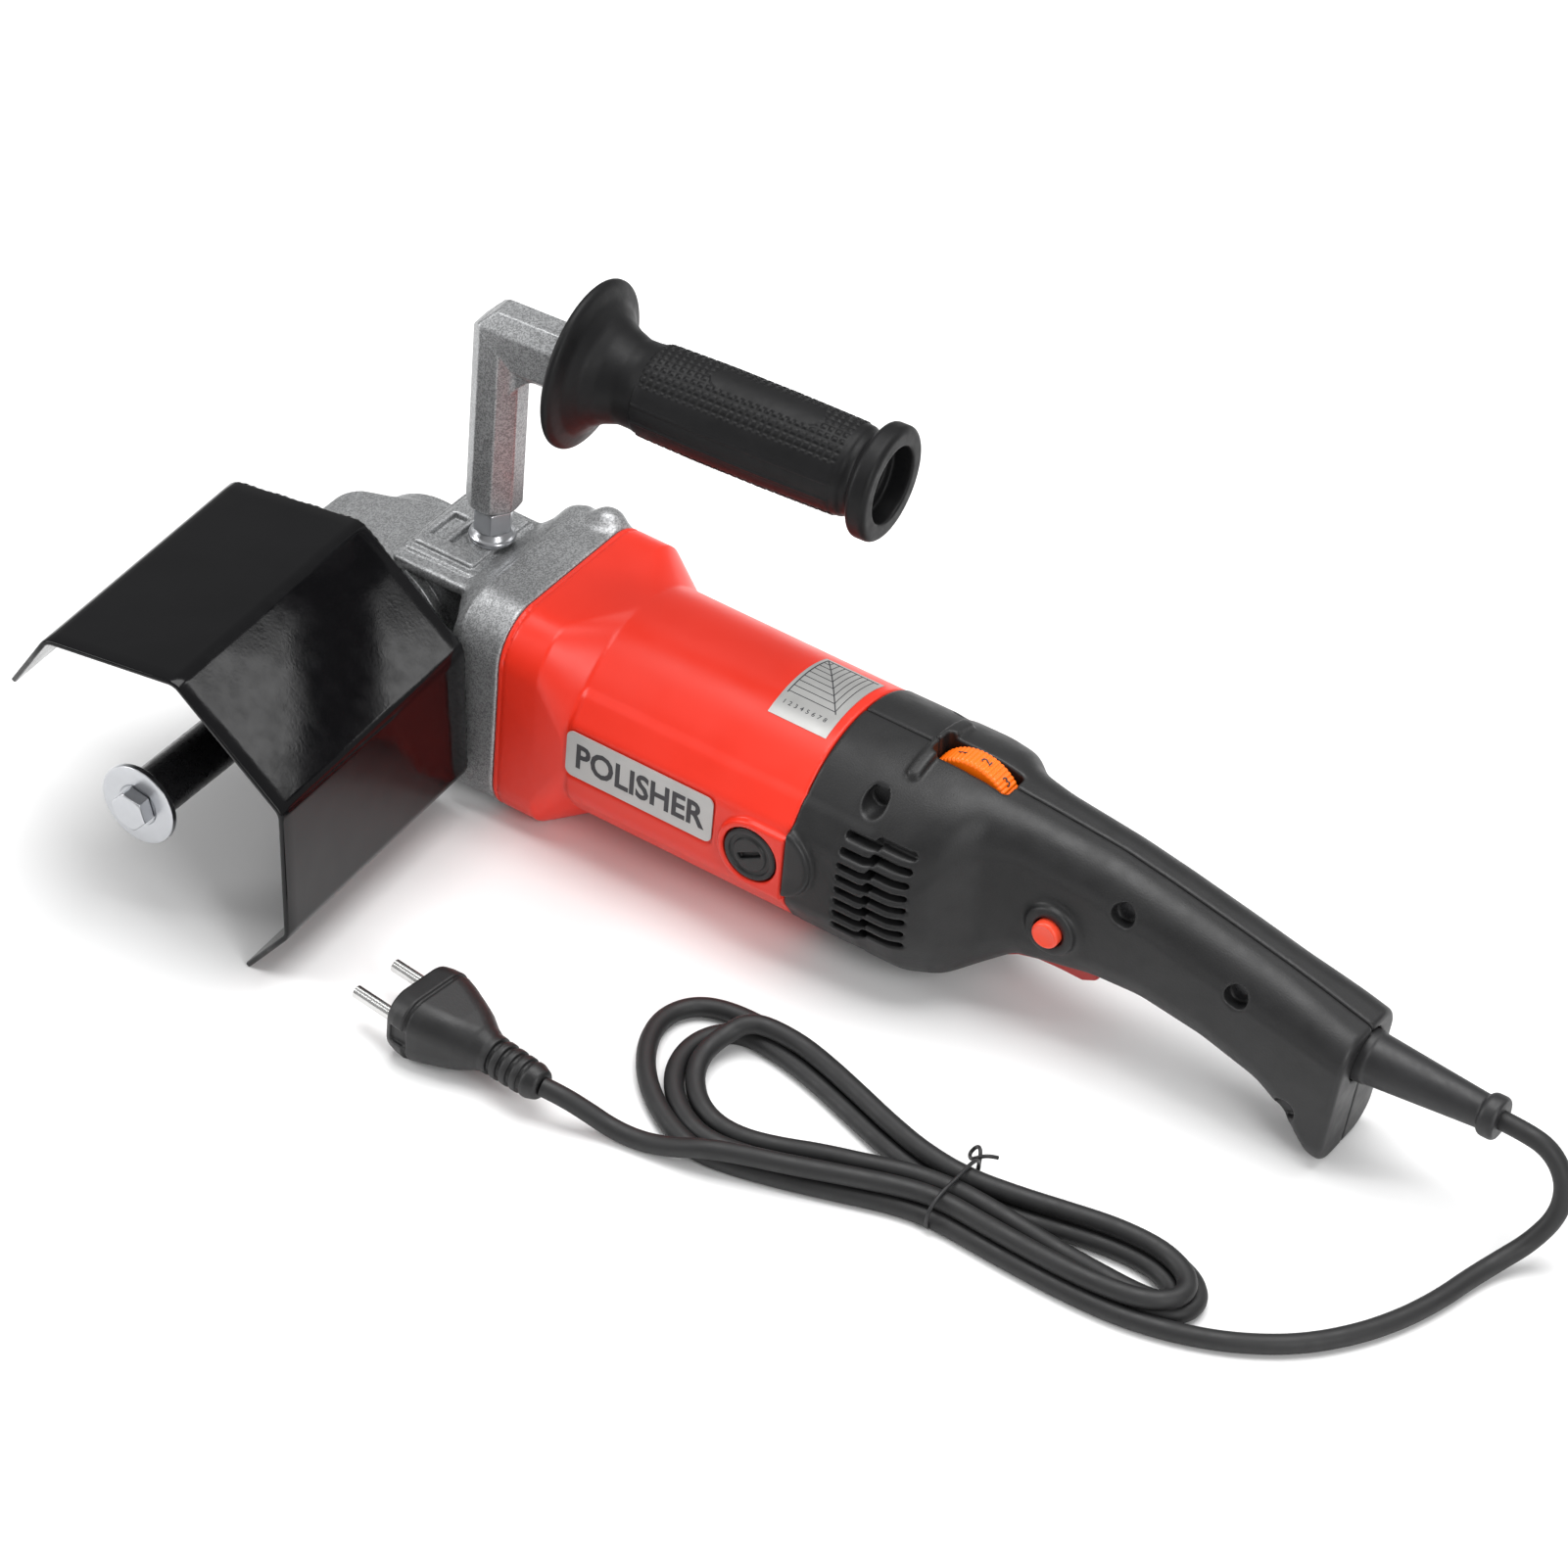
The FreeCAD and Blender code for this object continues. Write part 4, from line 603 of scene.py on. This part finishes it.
for side, ends in (("near", -1), ("far", 1)):
    def cap_field(x, y, z, ends=ends):
        """Slotted screw cap over one brush."""
        x = x - BRUSH_ALONG
        body = slab(disc(x, z, 10.6), ends * y - 42.5, 3.4, 0.8)
        rim = slab(np.maximum(disc(x, z, 8.4), -disc(x, z, 6.6)), ends * y - 46, 0.7, 0.2)
        slot = slab(rounded(x * 0.5 - z * 0.866, x * 0.866 + z * 0.5, 1.2, 5, 0.6), ends * y - 46, 2, 0.2)
        return carve(0.3, body, rim, slot)

    cap = shaped(f"brush_cap_{side}", cap_field, (168, min(ends * 38, ends * 47), -12),
                 (192, max(ends * 38, ends * 47), 12), 0.4)
    put(cap, "housing", "handle_black", black_plastic, *(["brush_caps"] if ends < 0 else []))


# ---------------------------------------------------------------- handle shells
# Distance along, half width, top, bottom and corner size of the handle.
HANDLE = np.array([(188, 43.5, 43.5, -43.5, 42), (194, 43.5, 43.5, -43.5, 42), (236, 43, 43.5, -43, 40),
                   (248, 35, 42.5, -38, 28), (257, 23, 40.5, -31, 17), (270, 19, 39.5, -20, 14),
                   (300, 18, 36.5, -14, 14), (320, 18, 32.6, -13, 14), (345, 18, 27, -17, 14),
                   (368, 18, 21.5, -24, 14), (381, 18.3, 18, -32, 13), (391, 18.5, 15, -43.9, 12),
                   (412, 18.5, 9, -43.9, 12)], float)
LINE = np.arange(180, 420, 0.5)
SOFTEN = np.exp(-np.linspace(-2, 2, 25) ** 2)


def handle_size(x, column):
    """One of the handle's sizes at a distance along, eased from station to station."""
    raw = np.interp(LINE, HANDLE[:, 0], HANDLE[:, column])
    soft = np.convolve(np.pad(raw, 12, "edge"), SOFTEN / SOFTEN.sum(), "valid")
    return np.interp(x, LINE, soft)


HANDLE_SCREWS = [(218, 33), (218, -30), (311, 24), (357, 13), (381, -24)]
BUTTON_ALONG, BUTTON_UP = 286, 6


def handle_field(x, y, z):
    """Both halves of the handle as one shape, without the gap between them."""
    top, bottom = handle_size(x, 2), handle_size(x, 3)
    shape = rounded(y, z - (top + bottom) / 2, handle_size(x, 1), (top - bottom) / 2, handle_size(x, 4))
    tail = (x - 400) * math.cos(math.radians(9)) - z * math.sin(math.radians(9)) * 0.5
    shape = overlap(2.5, overlap(0.8, shape, JOINT + 0.2 - x), tail)
    panel = slab(side_panel(y, z), x - 200, 26, 4)
    panel = overlap(0.6, panel, JOINT + 0.2 - x)
    boss = overlap(0.6, slab(disc(x - 189.5, z - 3, 15), y, 46.6, 1.6), JOINT + 0.2 - x)
    shape = blend(1.5, shape, panel, boss)
    rib = overlap(1.5, slab(rounded(x - 225, y, 2.6, 19, 2.5), z - 34, 20, 0.8), disc(y, z, 46.2))
    shape = blend(1.2, shape, rib)
    button_boss = slab(disc(x - BUTTON_ALONG, z - BUTTON_UP, 9.6), y + 14, 7.6, 1.2)
    shape = blend(3, shape, button_boss)
    slots = []
    for row in range(8):
        up = 22.5 - 5.3 * row
        near = rounded(x - 220, z - up, 6.6, 1.4, 1.3)
        far = rounded(x - 232.5, z - up - 1.5, 7.8, 1.4, 1.3)
        slots.append(slab(np.minimum(near, far), np.abs(y) - 43, 9, 0.2))
    screws = [slab(disc(x - along, z - up, 4.4), np.abs(y) - 30, 30 - (13 if along > 250 else 24), 0.3)
              for along, up in HANDLE_SCREWS]
    dial_way = slab(rounded(x - 240.2, y, 15.6, 6.2, 2), z - 36, 14, 0.3)
    trigger_way = slab(rounded(x - 279, z + 16, 22.4, 16, 4), y, 7.7, 0.5)
    button_way = slab(disc(x - BUTTON_ALONG, z - BUTTON_UP, 5.7), y + 20, 9, 0.2)
    sleeve_way = slab(disc(y, z + 0.5, 10.4), x - 400, 18, 0.3)
    return carve(0.8, shape, *slots, *screws, dial_way, trigger_way, button_way, sleeve_way)


def half_handle(side):
    """One half of the handle, cut a hair from its middle."""
    return lambda x, y, z: overlap(1.1, handle_field(x, y, z), 0.12 - side * y)


for node, side, low, high in (("handle_shell_left", -1, -48, 1), ("handle_shell_right", 1, -1, 48)):
    shell = shaped(node.replace("handle_shell", "handle_half"), half_handle(side), (193, low, -45),
                   (404, high, 46), 0.8)
    put(shell, "housing", "handle_black", black_plastic, node)


# ---------------------------------------------------------------- trigger, lock button and dial
def trigger_field(x, y, z):
    """Finger-shaped lever under the handle, with a hooked toe."""
    line = np.interp(np.asarray(x, float), [258, 262, 268, 276, 285, 294, 300],
                     [-29, -28, -24.5, -22.2, -21.8, -22, -19])
    blade = slab(rounded(x - 279.5, z + 14, 20.5, 20, 3), y, 6.9, 1.6)
    return overlap(1.6, overlap(1.5, blade, (line - z) * 0.9), z + 6)


trigger = shaped("trigger_lever", trigger_field, (257, -8, -32), (303, 8, -4), 0.5)
put(trigger, "trigger", "trigger_red", trigger_red, "trigger")

BUTTON_PROFILE = rounded_profile([(10, 0), (10, 4.4), (14, 5.2), (23.6, 5.2), (24.4, 4.4), (24.0, 3.4),
                                  (23.8, 0)], 0.7)
button = lathe("lock_cap", divided(BUTTON_PROFILE, 1.0), "-y", (BUTTON_ALONG, 0, BUTTON_UP), 64)
put(button, "lock_button", "button_orange", button_red, "lock_button")


def knurl(far, angle, radius):
    """Rounded teeth on a dial's rim."""
    return np.where(radius > 16, 0.45 * np.abs(np.sin(angle * 30)) - 0.45, 0.0)


DIAL = (240, 0, 28.3)
DIAL_PROFILE = rounded_profile([(-4.6, 0), (-4.6, 14), (-4.6, 16.6), (-3.8, 17.5), (3.8, 17.5), (4.6, 16.6),
                                (4.6, 14), (4.6, 0)], 0.5)
dial = lathe("dial_wheel", divided(DIAL_PROFILE, 0.8), "y", DIAL, 360, knurl)
put(dial, "speed_dial", "dial_orange", orange, "speed_dial")


# ---------------------------------------------------------------- lettering
def lettering(name, words, height, bend, body, slot, finish, thick=0.12, spin=0.0, heavy=0.0):
    """Raised words; bend turns a flat spot (across, up, out) into a drawing spot."""
    font = bpy.data.curves.new(name, "FONT")
    font.body = words
    font.size = height
    font.extrude = thick
    font.offset = heavy
    font.align_x, font.align_y = "CENTER", "CENTER"
    font.resolution_u = 3
    holder = bpy.data.objects.new(name, font)
    bpy.context.collection.objects.link(holder)
    bpy.context.view_layer.update()
    flat = bpy.data.meshes.new_from_object(holder)
    bpy.data.objects.remove(holder)
    flat.transform(Matrix.Rotation(spin, 4, "Z"))
    spots = [bend(*corner.co) for corner in flat.vertices]
    faces = [tuple(face.vertices) for face in flat.polygons]
    return put(mesh_object(name, spots, faces, smooth=False), body, slot, finish)


def on_dial(turn):
    """Bends flat spots on to the dial's rim at an angle from its top."""
    def bend(across, up, out):
        angle = turn + across / 17.6
        radius = 17.5 + out
        return DIAL[0] + radius * math.sin(angle), up, DIAL[2] + radius * math.cos(angle)
    return bend


for number in range(6):
    lettering(f"dial_digit_{number + 1}", str(number + 1), 5.2, on_dial(math.radians(-20 + 32 * number)),
              "speed_dial", "dial_orange", dark_ink, spin=math.pi / 2)


def on_near_panel(along, up):
    """Bends flat spots on to the near side panel."""
    return lambda across, rise, out: (along + 0.86 * across, -44.2 - out, up + rise)


lettering("plate_word", "POLISHER", 14.5, on_near_panel(132, 4.2), "housing", "label_silver", dark_ink,
          thick=0.1, heavy=0.35)


def on_chart(along, high):
    """Bends flat spots on to the chart plate round the top of the barrel."""
    def bend(across, rise, out):
        angle = (high + rise) / 44
        return along + across, (43.9 + out) * math.sin(angle), (43.9 + out) * math.cos(angle)
    return bend


CHART_ALONG = 178


def chart_line(name, first, last, wide=0.4):
    """A thin raised line on the chart between two flat spots."""
    steps = 14
    first, last = np.array(first, float), np.array(last, float)
    run = last - first
    side = np.array((-run[1], run[0])) / np.linalg.norm(run) * wide / 2
    section = ((-side, 0), (-side, 0.1), (side, 0.1), (side, 0))
    bend = on_chart(CHART_ALONG, 0)
    spots = []
    for n in range(steps + 1):
        here = mix(first, last, n / steps)
        spots += [bend(*(here + shift), out) for shift, out in section]
    faces = [(4 * n + k, 4 * n + (k + 1) % 4, 4 * n + 4 + (k + 1) % 4, 4 * n + 4 + k)
             for n in range(steps) for k in range(4)]
    faces += [(0, 1, 2, 3), (4 * steps + 3, 4 * steps + 2, 4 * steps + 1, 4 * steps)]
    return put(mesh_object(name, spots, faces, smooth=False), "housing", "label_silver", dark_ink)


CHART_STEPS = 8
CHART_CORNER = (-10.5, 17.5)
chart_line("chart_rise", CHART_CORNER, (CHART_CORNER[0], -9))
chart_line("chart_run", CHART_CORNER, (10.5, CHART_CORNER[1]))
chart_line("chart_slope", CHART_CORNER, (9.5, -9))
for number in range(1, CHART_STEPS + 1):
    across, rise = CHART_CORNER[0] + 2.4 * number, CHART_CORNER[1] - 3.2 * number
    chart_line(f"chart_level_{number}", (CHART_CORNER[0], rise), (across, rise), 0.25)
    chart_line(f"chart_upright_{number}", (across, rise), (across, CHART_CORNER[1]), 0.25)
    lettering(f"chart_figure_{number}", str(number), 2.6, on_chart(CHART_ALONG + across - 1, -13),
              "housing", "label_silver", dark_ink, thick=0.08)


# ---------------------------------------------------------------- guard
# The folded outline starts at its upper lip; each run has a length and a fall in degrees.
GUARD_LIP = (-53.9, 35.83)
GUARD_RUNS = [(27, 60), (54, 7), (56.5, -39), (53, -86), (26, -127)]
GUARD_ENDS = (-50, -162)
GUARD_TURN = 3.0
SHEET, BEND = 2.0, 6.0


def guard_line(offset):
    """The guard's folded outline, moved sideways off the sheet's middle, with round bends."""
    turns = [GUARD_RUNS[0][1]] + [angle for _, angle in GUARD_RUNS] + [GUARD_RUNS[-1][1]]
    along, high = GUARD_LIP
    line = []
    for index, (length, _) in enumerate(GUARD_RUNS + [(0, 0)]):
        before, after = math.radians(turns[index]), math.radians(turns[index + 1])
        if before == after:
            line.append((along - offset * math.sin(after), high + offset * math.cos(after)))
        else:
            reach = BEND * math.tan(abs(before - after) / 2)
            start = np.array((along - reach * math.cos(before), high - reach * math.sin(before)))
            centre = start + BEND * np.array((math.sin(before), -math.cos(before)))
            for share in np.linspace(0, 1, 9):
                angle = mix(before, after, share)
                line.append(tuple(centre + (BEND + offset) * np.array((-math.sin(angle), math.cos(angle)))))
        along += length * math.cos(after)
        high += length * math.sin(after)
    return line


def folded_sheet():
    """The guard's sheet, as rings of its outline along it, with rounded ends."""
    half = len(guard_line(0))
    count = 2 * half
    start, end = GUARD_ENDS
    stations = [(start, 0.45), (start - 0.35, 0.15), (start - 0.9, 0)]
    stations += [(across, 0) for across in np.linspace(-56, -156, 21)]
    stations += [(end + 0.9, 0), (end + 0.35, 0.15), (end, 0.45)]
    spots = []
    for across, shrink in stations:
        outside, inside = guard_line(SHEET / 2 - shrink), guard_line(shrink - SHEET / 2)
        spots += [(along, across, high) for along, high in outside + inside[::-1]]
    faces = [(row * count + col, (row + 1) * count + col, (row + 1) * count + (col + 1) % count,
              row * count + (col + 1) % count) for row in range(len(stations) - 1) for col in range(count)]
    last = (len(stations) - 1) * count
    for col in range(half - 1):
        faces.append((col, col + 1, count - 2 - col, count - 1 - col))
        faces.append((last + count - 1 - col, last + count - 2 - col, last + col + 1, last + col))
    return spots, faces


def weld_bead():
    """A slightly uneven bead round the guard's inner end, where its end plate is welded on."""
    sides = 8
    rim = [np.array(spot) for spot in guard_line(-0.2)]
    path = [rim[0]]
    for before, after in zip(rim, rim[1:]):
        steps = max(1, round(math.dist(before, after) / 0.7))
        path += [mix(before, after, n / steps) for n in range(1, steps + 1)]
    spots = []
    for index, (along, high) in enumerate(path):
        size = 0.9 + 0.12 * math.sin(index * 1.3) + 0.12 * math.sin(index * 0.31)
        tangent = path[min(index + 1, len(path) - 1)] - path[max(index - 1, 0)]
        normal = np.array((-tangent[1], tangent[0])) / max(np.linalg.norm(tangent), 1e-6)
        for step in range(sides):
            turn = 2 * math.pi * step / sides
            shift = normal * size * math.cos(turn)
            spots.append((along + shift[0], GUARD_ENDS[0] - 0.2 + size * math.sin(turn), high + shift[1]))
    faces = [(sides * index + step, sides * index + (step + 1) % sides,
              sides * (index + 1) + (step + 1) % sides, sides * (index + 1) + step)
             for index in range(len(path) - 1) for step in range(sides)]
    faces += [tuple(range(sides))[::-1], tuple(range(sides * (len(path) - 1), sides * len(path)))]
    return spots, faces


for name, made, stands_for in (("guard_sheet", folded_sheet, ["wheel_guard"]), ("guard_weld", weld_bead, [])):
    spots, faces = made()
    piece = mesh_object(name, swing(spots, GUARD_TURN, 0, GUARD_ENDS[0]), faces)
    put(piece, "housing", "guard_black", powder, *stands_for)


# ---------------------------------------------------------------- arbor hardware
def bolt_field(x, y, z):
    """Hexagon bolt head with a chamfered face."""
    hexagon = slab(polygon(x, z, 13, 6, 0.35), y + 159.2, 2.8, 0.3)
    dome = np.hypot(x, z) + (-y - 161.8) * 1.7 - 6.9
    return overlap(0.3, hexagon, dome)


bolt = shaped("arbor_bolt_head", bolt_field, (-8, -163, -8), (8, -155, 8), 0.35)
put(bolt, "spindle", "bright_zinc", zinc, "arbor_bolt")
WASHER_PROFILE = rounded_profile([(154, 0), (154, 15.4), (156.5, 15.4), (156.5, 8.2), (156.2, 7.6),
                                  (156.2, 0)], 0.5)
washer = lathe("end_washer", divided(WASHER_PROFILE, 2.0), "-y", (0, 0, 0))
put(washer, "spindle", "bright_zinc", zinc, "arbor_end_washer")


# ---------------------------------------------------------------- side handle
GRIP_TURN = 4.0
ABOUT_STUD = (STUD_ALONG, 0.0)
BAR = 19.0
BAR_FOOT, GRIP_UP = 56.0, 131.0


def nut_field(x, y, z):
    """Flanged hexagon nut on the stud."""
    x = x - STUD_ALONG
    hexagon = slab(polygon(x, y, 13, 6, 0.5), z - 50.5, 4.5, 0.3)
    cone = np.hypot(x, y) + (z - 55) * 1.6 - 7
    flange = slab(disc(x, y, 8.4), z - 42.1, 1.1, 0.5)
    skirt = np.maximum(np.hypot(x, y) + (z - 43) * 0.6 - 8, np.abs(z - 44.2) - 2)
    return blend(0.8, overlap(0.3, hexagon, cone), flange, skirt)


nut = shaped("stud_nut", nut_field, (25, -10, 40), (45, 10, 56), 0.35)
put(nut, "side_handle", "bright_zinc", zinc, "bracket_nut")


def bracket_field(x, y, z):
    """Cast bar: an octagonal leg, a mitred elbow with its corner cut, and an arm to the grip."""
    x = x - STUD_ALONG
    leg = overlap(0.8, polygon(x, y, BAR, 8), np.abs(z - 98.2) - 42.2)
    tall = np.maximum(np.maximum(np.abs(y) - 9.5, np.abs(z - 129) - 11.8),
                      (np.abs(y) + np.abs(z - 129)) * math.sqrt(0.5) - 11.6)
    arm = overlap(0.8, tall, np.abs(x - 11.2) - 20.7)
    mitre = (z - GRIP_UP + x) * math.sqrt(0.5)
    elbow = np.minimum(np.maximum(leg, mitre), np.maximum(arm, -mitre))
    gusset = np.maximum(np.maximum((x - z + GRIP_UP) * math.sqrt(0.5) - 20, 5 - x),
                        np.maximum(z - GRIP_UP + 6, np.abs(y) - 5))
    corner = ((z - GRIP_UP) - x) * math.sqrt(0.5) - 7.4
    foot = np.hypot(x, y) - 8 - (z - BAR_FOOT) * 1.2
    return overlap(0.8, overlap(0.8, blend(1.5, elbow, gusset), corner), foot)


bracket = shaped("cast_bracket", bracket_field, (22, -12, 54), (69, 12, 143), 0.5, GRIP_TURN, ABOUT_STUD)
put(bracket, "side_handle", "cast_head", cast, "handle_bracket")

# Distance from the stud and radius of the grip: flange, neck, barrel, end bead and hollow end.
GRIP_PROFILE = rounded_profile([
    (32, 4.2), (32, 12), (33, 17), (33.4, 29.6), (34.4, 31), (36.2, 31), (37.3, 29.6), (39, 25),
    (42.5, 20.5), (47, 17.6), (53, 15.6), (58, 15.7), (63, 16.5), (85, 17), (110, 17), (135, 16.6),
    (141, 16.4), (142.5, 15.4), (145, 15.4), (146.5, 18.5), (148.2, 21), (153.6, 21), (155, 19.4),
    (155, 14), (147, 14), (147, 9.5), (125, 9.5), (125, 4.2)], 1.2)
DOT_GAP = 2.9


def grip_relief(far, angle, radius):
    """Rows of square dots above and below, a smooth pad on top and a raised panel on each side."""
    barrel = ease(far, 60, 61) * ease(-far, -139, -138) * (radius > 14)
    upright = np.sin(angle)
    around = 16.8 * np.arctan2(np.cos(angle), upright)
    pad = np.hypot(np.maximum(np.abs(far - 105.6) - 17, 0), around + 1.5) < 5
    panel = np.abs(upright) < 0.6
    off_row, off_line = (np.abs(np.mod(way / DOT_GAP, 1) - 0.5) for way in (far, around))
    dots = np.maximum(off_row, off_line) < 0.29
    line = np.abs(np.abs(upright) - 0.2) < 0.03
    raised = np.where(pad | panel, 0.35, np.where(dots, 0.5, 0.0)) + np.where(line & panel, 0.3, 0.0)
    return barrel * raised


grip = lathe("grip_moulding", divided(GRIP_PROFILE, 0.5), "x", (STUD_ALONG, 0, GRIP_UP), 300, grip_relief,
             GRIP_TURN, ABOUT_STUD)
put(grip, "side_handle", "grip_rubber", rubber, "side_grip")


# ---------------------------------------------------------------- cord sleeve, tie and plug
BOOT_PROFILE = rounded_profile([(384, 3.6), (384, 9.9), (403, 9.9), (404, 9.4), (442, 6.4), (445, 6.2),
                                (446, 7.4), (447.2, 7.9), (450.8, 7.9), (452, 7.2), (452, 3.6)], 1.0)
boot = lathe("cord_boot", divided(BOOT_PROFILE, 1.2), "x", (0, 0, -0.5), 64)
put(boot, "housing", "sleeve_rubber", boot_rubber, "cord_sleeve")

# Once round the hank, then the twisted ends.
TIE_ROUTE = [(308.5, -96.5, -43), (308.6, -93.4, -40), (308.8, -93.6, -33.5), (309.2, -98.5, -29.6),
             (309.4, -109, -29.4), (309, -119, -29.6), (308.6, -125.2, -33), (308.4, -125.6, -40),
             (308.4, -122.5, -43), (308.2, -110, -43), (308.2, -99, -43), (308, -93.2, -41),
             (307.4, -90.6, -36), (305.5, -87.8, -34), (303, -85.8, -36), (301.4, -87.4, -39),
             (303.6, -90.4, -38.4), (306.4, -91.8, -35), (309.8, -89.8, -33.4), (312.2, -87.2, -35)]
tie = spline_object("hank_wire_tie", TIE_ROUTE, 1.4)
put(tie, "housing", "black_screws", boot_rubber, "hank_tie")

PLUG_SPOT = LEAD_ROUTE[-1]
PLUG_TURN = 173.5
# Distance along the plug and half of its width there.
PLUG_WIDTHS = [(-1, 5.2), (0, 5.2), (4, 6.6), (24, 7.2), (27, 8.4), (32, 11.2), (38, 13.4), (44, 15.4),
               (50, 16.8), (54, 16.6), (58, 15.6), (60, 15.6)]


def plug_field(x, y, z):
    """Moulded plug along its own axis: ribbed relief, shouldered body and flared face."""
    far = np.asarray(x, float)
    width = np.interp(far, *zip(*PLUG_WIDTHS))
    depth = np.minimum(width, np.interp(far, [24, 34, 50, 58], [8, 10.6, 13, 12.2]))
    body = slab(rounded(y, z, width, depth, np.minimum(depth, 9)) * 0.9, x - 29, 29, 1.2)
    grooves = [np.maximum(np.abs(x - along) - 0.9, 5.6 - np.hypot(y, z)) for along in (6.5, 11, 15.5, 20)]
    groove = np.maximum(np.abs(x - 49) - 0.7, -rounded(y, z, 16, 12.1, 9))
    notch = slab(rounded(x - 52, z, 3.4, 3.4, 1), np.abs(y) - 17, 1.8, 0.4)
    return carve(0.5, body, *grooves, groove, notch)


plug_spots, plug_faces = surface(plug_field, (0, -18, -14), (59, 18, 14), 0.5)
plug_spots = swing(plug_spots, PLUG_TURN)
plug = mesh_object("plug_moulding", plug_spots + np.array(PLUG_SPOT), plug_faces)
put(plug, "housing", "plug_black", black_plastic, "plug_body")


# ---------------------------------------------------------------- cord
put(lead, "housing", "lead_rubber", lead_rubber, "mains_lead", "plug_lead", "mains_lead_hank")
tuple(place(*LEAD_ROUTE[0]))
